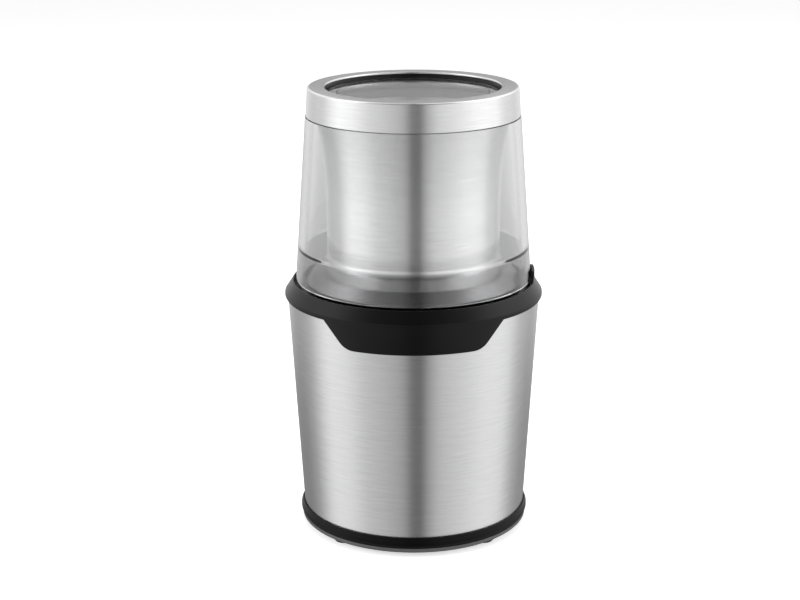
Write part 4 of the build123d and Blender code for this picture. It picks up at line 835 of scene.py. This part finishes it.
# black base of the bowl, notched for the keys of the motor deck
keyNotch = {"inner": 43.4, "outer": 52.0, "half": 2.4, "low": 100.0, "top": 104.6, "count": 3}
bowlBase = turned("bowlBase", rounded([
    (49.511, 101.3), (49.511, 117.0), (48.3, 117.0), (48.3, 117.9), (42.9, 124.4), (42.3, 124.7),
    (35.0, 124.7), (35.0, 127.2), (6.35, 127.2), (6.35, 117.3), (10.0, 117.3), (10.0, 122.2), (40.0, 122.2),
    (45.911, 116.0), (45.911, 101.3),
], {0: 0.5, 1: 0.2, 4: 0.5, 7: 0.4, 10: 0.4, 11: 1.5, 12: 2.0, 14: 0.5}))
notchLow = (keyNotch["inner"], -keyNotch["half"], keyNotch["low"])
notchHigh = (keyNotch["outer"], keyNotch["half"], keyNotch["top"])
carve(bowlBase, *[
    block("notchCut", notchLow, notchHigh, 360 / keyNotch["count"] * index)
    for index in range(keyNotch["count"])
])
dress(bowlBase, "bowl", "black_plastic", "bowl_base")
print("bowl")

# clear lid: outside, window with a fine groove, underside, inner step
lidSteps = 224
lidWall = turned("lidWall", rounded([
    (54.411, 118.8), (48.911, 194.3), (47.611, 194.3), (47.05, 201.8), (46.25, 202.6), (39.011, 202.6),
    (39.011, 204.8), (34.7, 204.8), (34.55, 204.55), (34.45, 204.55), (34.3, 204.8), (0, 204.8),
    (0, 202.7), (36.611, 202.7), (36.611, 200.4), (45.467, 200.4),
    (50.33, 134.2), (51.55, 132.9), (52.511, 118.8),
], {
    0: 0.4, 1: 0.15, 3: 0.3, 4: 0.3, 6: 0.35, 13: 0.5, 14: 0.4, 15: 1.6, 16: 0.4, 17: 0.4, 18: 0.4,
}, closed=False), lidSteps)
dress(lidWall, "lid", "clear_plastic", "lid_body")

# steel cap on the lid, its black liner, and the seal between lid and bowl
capShell = turned("capShell", rounded([
    (48.711, 194.5), (47.811, 207.5), (39.911, 207.5), (39.911, 206.5), (40.711, 206.5), (40.711, 206.7),
    (47.05, 206.7), (47.911, 194.5),
], {0: 0.2, 1: 1.1, 2: 0.7, 3: 0.2, 4: 0.05, 6: 0.5, 7: 0.2}, arc=10), lidSteps)
dress(capShell, "lid", "brushed_steel", "lid_cap")

capLiner = turned("capLinerRing", rounded([
    (39.311, 202.6), (46.25, 202.6), (46.25, 206.7), (40.8, 206.7), (40.6, 206.48), (39.95, 206.48),
    (39.4, 204.9),
], {2: 0.3, 5: 0.1}))
dress(capLiner, "lid", "black_plastic", "cap_liner")

lidSeal = turned("sealRing", rounded([
    (45.138, 195.8), (45.138, 197.1), (42.223, 197.1), (42.223, 193.5), (43.023, 193.5), (43.023, 195.8),
], {0: 0.4, 1: 0.4, 2: 0.3, 3: 0.3, 4: 0.3, 5: 0.2}))
dress(lidSeal, "seal", "silicone", "lid_seal")
print("lid")

# screws: those of a set stand x and y from its middle, or on a circle, and thread is where theirs starts
screws = {
    "base": {"head": 3.0, "tall": 2.0, "shank": 1.7, "pitch": 1.1, "low": 2.8, "high": 25.7, "thread": 8.0,
             "grid": (2, 2), "x": 19.018, "y": 40.784},
    "collar": {"head": 2.3, "tall": 1.4, "shank": 1.1, "pitch": 0.9, "low": 97.1, "high": 110.0,
               "count": 3, "circle": 53.311, "start": 90.0},
    "mount": {"head": 2.8, "tall": 2.5, "shank": 1.5, "pitch": 0.8, "low": 91.5, "high": 100.0,
              "grid": (2, 1), "x": 36.503, "y": 0},
    "tie": {"head": 2.6, "tall": 2.0, "shank": 1.5, "pitch": 0.7, "low": 22.0, "high": 97.0, "thread": 84.0,
            "grid": (2, 2), "x": 27.9, "y": 19.9},
    "switch": {"head": 2.0, "tall": 1.4, "shank": 1.1, "pitch": 0.7, "low": -51.403, "high": -41.603,
               "turn": ("Y", -90), "grid": (1, 2), "x": 0, "y": 4.75, "middle": (0, 0, 79.5)},
    "clamp": {"head": 2.3, "tall": 1.5, "shank": 1.2, "pitch": 0.9, "low": -17.0, "high": -6.5,
              "turn": ("X", 180), "grid": (2, 1), "x": 8.0, "y": 0, "middle": (0, 34.019, 0)},
}
for kind, look in screws.items():
    item = screwItem(look)
    if "turn" in look:
        axis, degrees = look["turn"]
        placed(item, Matrix.Rotation(math.radians(degrees), 4, axis))
    if "circle" in look:
        screwSet = ringOf(kind + "ScrewSet", item, look["count"], look["circle"], look["start"])
    else:
        screwSet = pairOf(kind + "ScrewSet", item, *look["grid"], 2 * look["x"], 2 * look["y"],
                          look.get("middle", (0, 0, 0)))
    dress(screwSet, "base", "zinc_screw", kind + "_screws")
print("screws")

# springs
springs = {
    "return": {"radius": 1.375, "wire": 0.35, "turns": 6.0, "x": 53.311, "low": 101.0, "high": 107.5,
               "travel": 3.0},
    "brush": {"radius": 1.7, "wire": 0.5, "turns": 5.0, "inner": 21.3, "outer": 25.8, "z": 32.75},
}
back = springs["return"]
returnSpring = placed(spring("returnCoil", back, back["low"], back["high"]),
                      shifted(back["x"], 0, back["low"] + back["wire"] / 2))
dress(returnSpring, "base", "bare_steel", "return_spring")
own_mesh(returnSpring)
push = springs["brush"]
coils = []
for side in (1, -1):
    coil = spring("brushCoil", push, push["inner"], push["outer"])
    outward = Matrix.Rotation(math.radians(-90 * side), 4, "X")
    coils.append(placed(coil, outward, shifted(0, side * (push["inner"] + push["wire"] / 2), push["z"])))
dress(joined("brushCoils", *coils), "base", "bare_steel", "brush_springs")
print("springs")

# cooling fan: a disc with a hub and straight vanes
fan = {"reach": 25.5, "hub": 7.0, "bore": 3.05, "disc": 26.0, "low": 84.0, "plate": 85.4, "high": 92.0,
       "blades": 9, "thick": 1.2}
fanDisc = turned("fanDisc", rounded([
    (fan["bore"], fan["low"]), (fan["disc"], fan["low"]), (fan["disc"], fan["plate"]), (8.2, fan["plate"]),
    (fan["hub"], 86.6), (fan["hub"], fan["high"]), (4.0, fan["high"]), (fan["bore"], 91.4),
], {1: 0.4, 2: 0.4, 3: 0.5, 5: 0.5, 6: 0.3}), 96)


def fanBlade():
    # a straight upright vane along X whose top slopes down to its tip
    root, tip = fan["hub"] - 0.4, fan["reach"]
    outline = rounded([
        (root, 85.0), (tip, 85.0), (tip, 90.6), (tip - 1.6, fan["high"]), (root, fan["high"]),
    ], {2: 0.8, 3: 0.8})
    bm = bmesh.new()
    half = fan["thick"] / 2
    sides = [[bm.verts.new((x * mm, y * mm, z * mm)) for x, z in outline] for y in (-half, half)]
    bm.faces.new(sides[0])
    bm.faces.new(list(reversed(sides[1])))
    for index in range(len(sides[0])):
        after = (index + 1) % len(sides[0])
        bm.faces.new((sides[0][index], sides[0][after], sides[1][after], sides[1][index]))
    vane = meshObject("fanVane", bm)
    bevelled(vane, 0.3, 2)
    return settle(vane)


vanes = ringOf("fanVanes", fanBlade(), fan["blades"], 0.0001)  # the circle is only there to turn them
dress(joined("fanWheel", fanDisc, vanes), "rotor", "fan_plastic", "cooling_fan")
print("fan")

# the other pieces are their nodes with rounded edges: member, body, finish, width
roundedPieces = [
    ("bottom_cover", "base", "cover_plastic", 0.3), ("motor_carrier", "base", "dark_plastic", 0.3),
    ("upper_bracket", "base", "cast_aluminium", 0.5), ("lower_bracket", "base", "cast_aluminium", 0.5),
    ("upper_bearing", "base", "bronze", 0.3), ("lower_bearing", "base", "bronze", 0.3),
    ("stator_core", "base", "lamination", 0.12), ("field_coils", "base", "coil_copper", 1.2),
    ("armature_core", "rotor", "lamination", 0.12), ("armature_winding", "rotor", "copper", 0.5),
    ("commutator", "rotor", "bar_copper", 0.08), ("shaft_washers", "rotor", "bare_steel", 0.2),
    ("brush_holders", "base", "bronze", 0.2), ("carbon_brushes", "base", "carbon", 0.25),
    ("micro_switch", "base", "dark_plastic", 0.35),
    ("suppression_capacitor", "base", "capacitor_yellow", 0.5),
    ("cord_gland", "base", "rubber", 0.3), ("cord_clamp", "base", "dark_plastic", 0.5),
    ("push_rod", "interlock_rod", "white_plastic", 0.2), ("drive_dog", "rotor", "fan_plastic", 0.3),
    ("drive_socket", "blade", "fan_plastic", 0.3), ("bushing_nut", "bowl", "zinc_screw", 0.3),
    ("bowl_bushing", "bowl", "bronze", 0.25), ("shaft_seal", "bowl", "rubber", 0.2),
    ("grinding_blade", "blade", "blade_steel", 0.15), ("blade_nut", "blade", "bare_steel", 0.4),
    ("spindle_washers", "blade", "bare_steel", 0.2), ("blade_spindle", "blade", "bare_steel", 0.2),
]
for member, body, finish, width in roundedPieces:
    dress(softened(member, width), body, finish, member)
print("rounded pieces", len(roundedPieces))

# nodes that are shown as they are
shownNodes = {"motor_shaft": "bare_steel", "switch_plunger": "switch_red"}
for member, finish in shownNodes.items():
    coat(nodes[member], finish)
print("shown nodes", len(shownNodes))

# studio light: a dome that only the steel and the clear lid see, with its levels round and up
stage = {
    "radius": 1.5, "floor": 3.0, "strength": 4.9, "floorGlow": 0.62, "floorColour": (0.82, 0.82, 0.82, 1),
    "around": ((0.0, 0.16), (0.14, 0.2), (0.19, 0.36), (0.235, 0.72), (0.262, 0.86), (0.315, 0.79),
               (0.37, 0.58), (0.417, 0.5), (0.464, 0.4), (0.478, 0.33), (0.494, 0.17), (0.52, 0.13),
               (0.538, 0.34), (0.567, 0.53), (0.589, 0.59), (0.64, 0.69), (0.69, 0.81), (0.735, 0.84),
               (0.77, 0.78), (0.82, 0.42), (0.872, 0.25), (1.0, 0.16)),
    "upward": ((0.0, 0.17), (0.333, 0.26), (0.389, 0.28), (0.43, 0.278), (0.456, 0.342), (0.5, 0.37),
               (0.556, 0.4), (0.61, 0.46), (0.66, 0.56), (0.7, 0.7), (0.76, 1.0), (0.84, 0.9), (0.93, 0.6),
               (1.0, 0.55)),
    "behind": ((0.0, 0.0), (0.92, 0.0), (0.96, 0.03), (1.0, 0.03)),
    "cards": ((0.0, 0.0), (0.5, 0.0), (0.58, 0.08), (0.68, 0.24), (0.9, 0.34), (0.96, 0.06), (1.0, 0.03)),
    "cardLift": ((0.0, 0.0), (0.402, 0.0), (0.44, 1.0), (0.68, 1.0), (0.76, 0.0), (1.0, 0.0)),
    "front": ((0.0, 1.0), (0.25, 1.0), (0.36, 0.88), (0.48, 0.3), (0.6, 0.0)),
    "hood": ((0.58, 0.0), (0.68, 0.6), (0.76, 1.0), (0.87, 1.0), (0.94, 0.0)),
}


def emptyBoard(owner):  # the bare node tree of a material or a world
    owner.use_nodes = True
    owner.node_tree.nodes.clear()
    return Board(owner.node_tree)


def output(board, shader, kind="ShaderNodeOutputMaterial"):
    board.tree.links.new(shader.socket, board.tree.nodes.new(kind).inputs[0])


def studioDome():
    bm = bmesh.new()
    bmesh.ops.create_uvsphere(bm, u_segments=64, v_segments=32, radius=stage["radius"])
    dome = meshObject("studioDome", bm)
    material = bpy.data.materials.new("studioLevels")
    board = emptyBoard(material)
    place = board.node("ShaderNodeTexCoord", None, None, out="Object")
    split = board.node("ShaderNodeSeparateXYZ", None, {0: place})
    depth, height = split.out("Y"), split.out("Z")
    side = split.sum("ARCTAN2", depth * -1) / math.pi  # 0 in front, 1 or -1 at the back
    level = board.ramp(side * 0.5 + 0.5, *stage["around"])
    tilt = (height / stage["radius"]).sum("ARCSINE") / math.pi + 0.5  # 0 straight down, 1 straight up
    lift = board.ramp(tilt, *stage["upward"])
    behind = board.ramp(side.sum("ABSOLUTE"), *stage["behind"])
    hood = board.ramp(side.sum("ABSOLUTE"), *stage["front"]) * board.ramp(tilt, *stage["hood"])
    cards = board.ramp(side.sum("ABSOLUTE"), *stage["cards"]) * board.ramp(tilt, *stage["cardLift"])
    through = board.node("ShaderNodeLightPath").out("Is Transmission Ray")
    glow = level + cards * (1 - through * 0.35) + behind * through
    strength = glow * lift * (1 - hood * 0.9) * stage["strength"]
    output(board, board.node("ShaderNodeEmission", None, {"Strength": strength}))
    dome.data.materials.append(material)
    dome.visible_camera = dome.visible_diffuse = dome.visible_shadow = False
    dome.visible_volume_scatter = False


def paleFloor():
    bm = bmesh.new()
    bmesh.ops.create_grid(bm, x_segments=1, y_segments=1, size=stage["floor"])
    floor = meshObject("paleFloor", bm)
    material = bpy.data.materials.new("paleFloor")
    board = emptyBoard(material)
    rays = board.node("ShaderNodeLightPath")  # its first output is Is Camera Ray
    glow = board.node("ShaderNodeEmission", None, {"Strength": rays * stage["floorGlow"]})
    matt = board.node("ShaderNodeBsdfDiffuse", None, {"Color": stage["floorColour"]})
    output(board, board.node("ShaderNodeAddShader", None, {0: glow, 1: matt}))
    floor.data.materials.append(material)
    floor.visible_glossy = floor.visible_transmission = False


lamps = {  # place, side of the square, power
    "leftBox": ((-1.1, -0.7, 0.8), 0.9, 9), "rightBox": ((1.1, -0.7, 0.8), 0.9, 8),
    "topBox": ((0.0, 0.2, 1.4), 1.0, 9),
}


def softBox(name, place, size, power):  # aimed at the middle of the object
    lamp = bpy.data.lights.new(name, "AREA")
    lamp.shape, lamp.size, lamp.size_y, lamp.energy = "RECTANGLE", size, size, power
    made = linked(name, lamp)
    made.location = place
    made.rotation_euler = (Vector((0, 0, 0.1)) - Vector(place)).to_track_quat("-Z", "Y").to_euler()
    made.visible_camera = made.visible_glossy = made.visible_transmission = False


studioDome()
paleFloor()
for name, lamp in lamps.items():
    softBox(name, *lamp)

world = bpy.data.worlds.new("paleRoom")
bpy.context.scene.world = world
sky = emptyBoard(world)
rays = sky.node("ShaderNodeLightPath")
seen = (rays + rays.out("Is Glossy Ray") + rays.out("Is Transmission Ray")).clamp()
backdrop = sky.node("ShaderNodeBackground", None, {"Color": (1, 1, 1, 1), "Strength": seen * 0.65 + 0.35})
output(sky, backdrop, "ShaderNodeOutputWorld")
print("stage")

# camera
view = {"place": (0, -0.7834, 0.3341), "pitch": 16.18, "yaw": 0.46, "roll": -0.23, "lens": 78.66}
lens = bpy.data.cameras.new("camera")
lens.lens, lens.sensor_width, lens.clip_start, lens.clip_end = view["lens"], 36.0, 0.05, 20.0
camera = linked("camera", lens)
camera.location = view["place"]
aimed = Euler((math.radians(90 - view["pitch"]), 0, math.radians(view["yaw"]))).to_matrix()
camera.rotation_euler = (aimed @ Matrix.Rotation(math.radians(view["roll"]), 3, "Z")).to_euler()
bpy.context.scene.camera = camera
bpy.context.scene.view_settings.view_transform = "Standard"
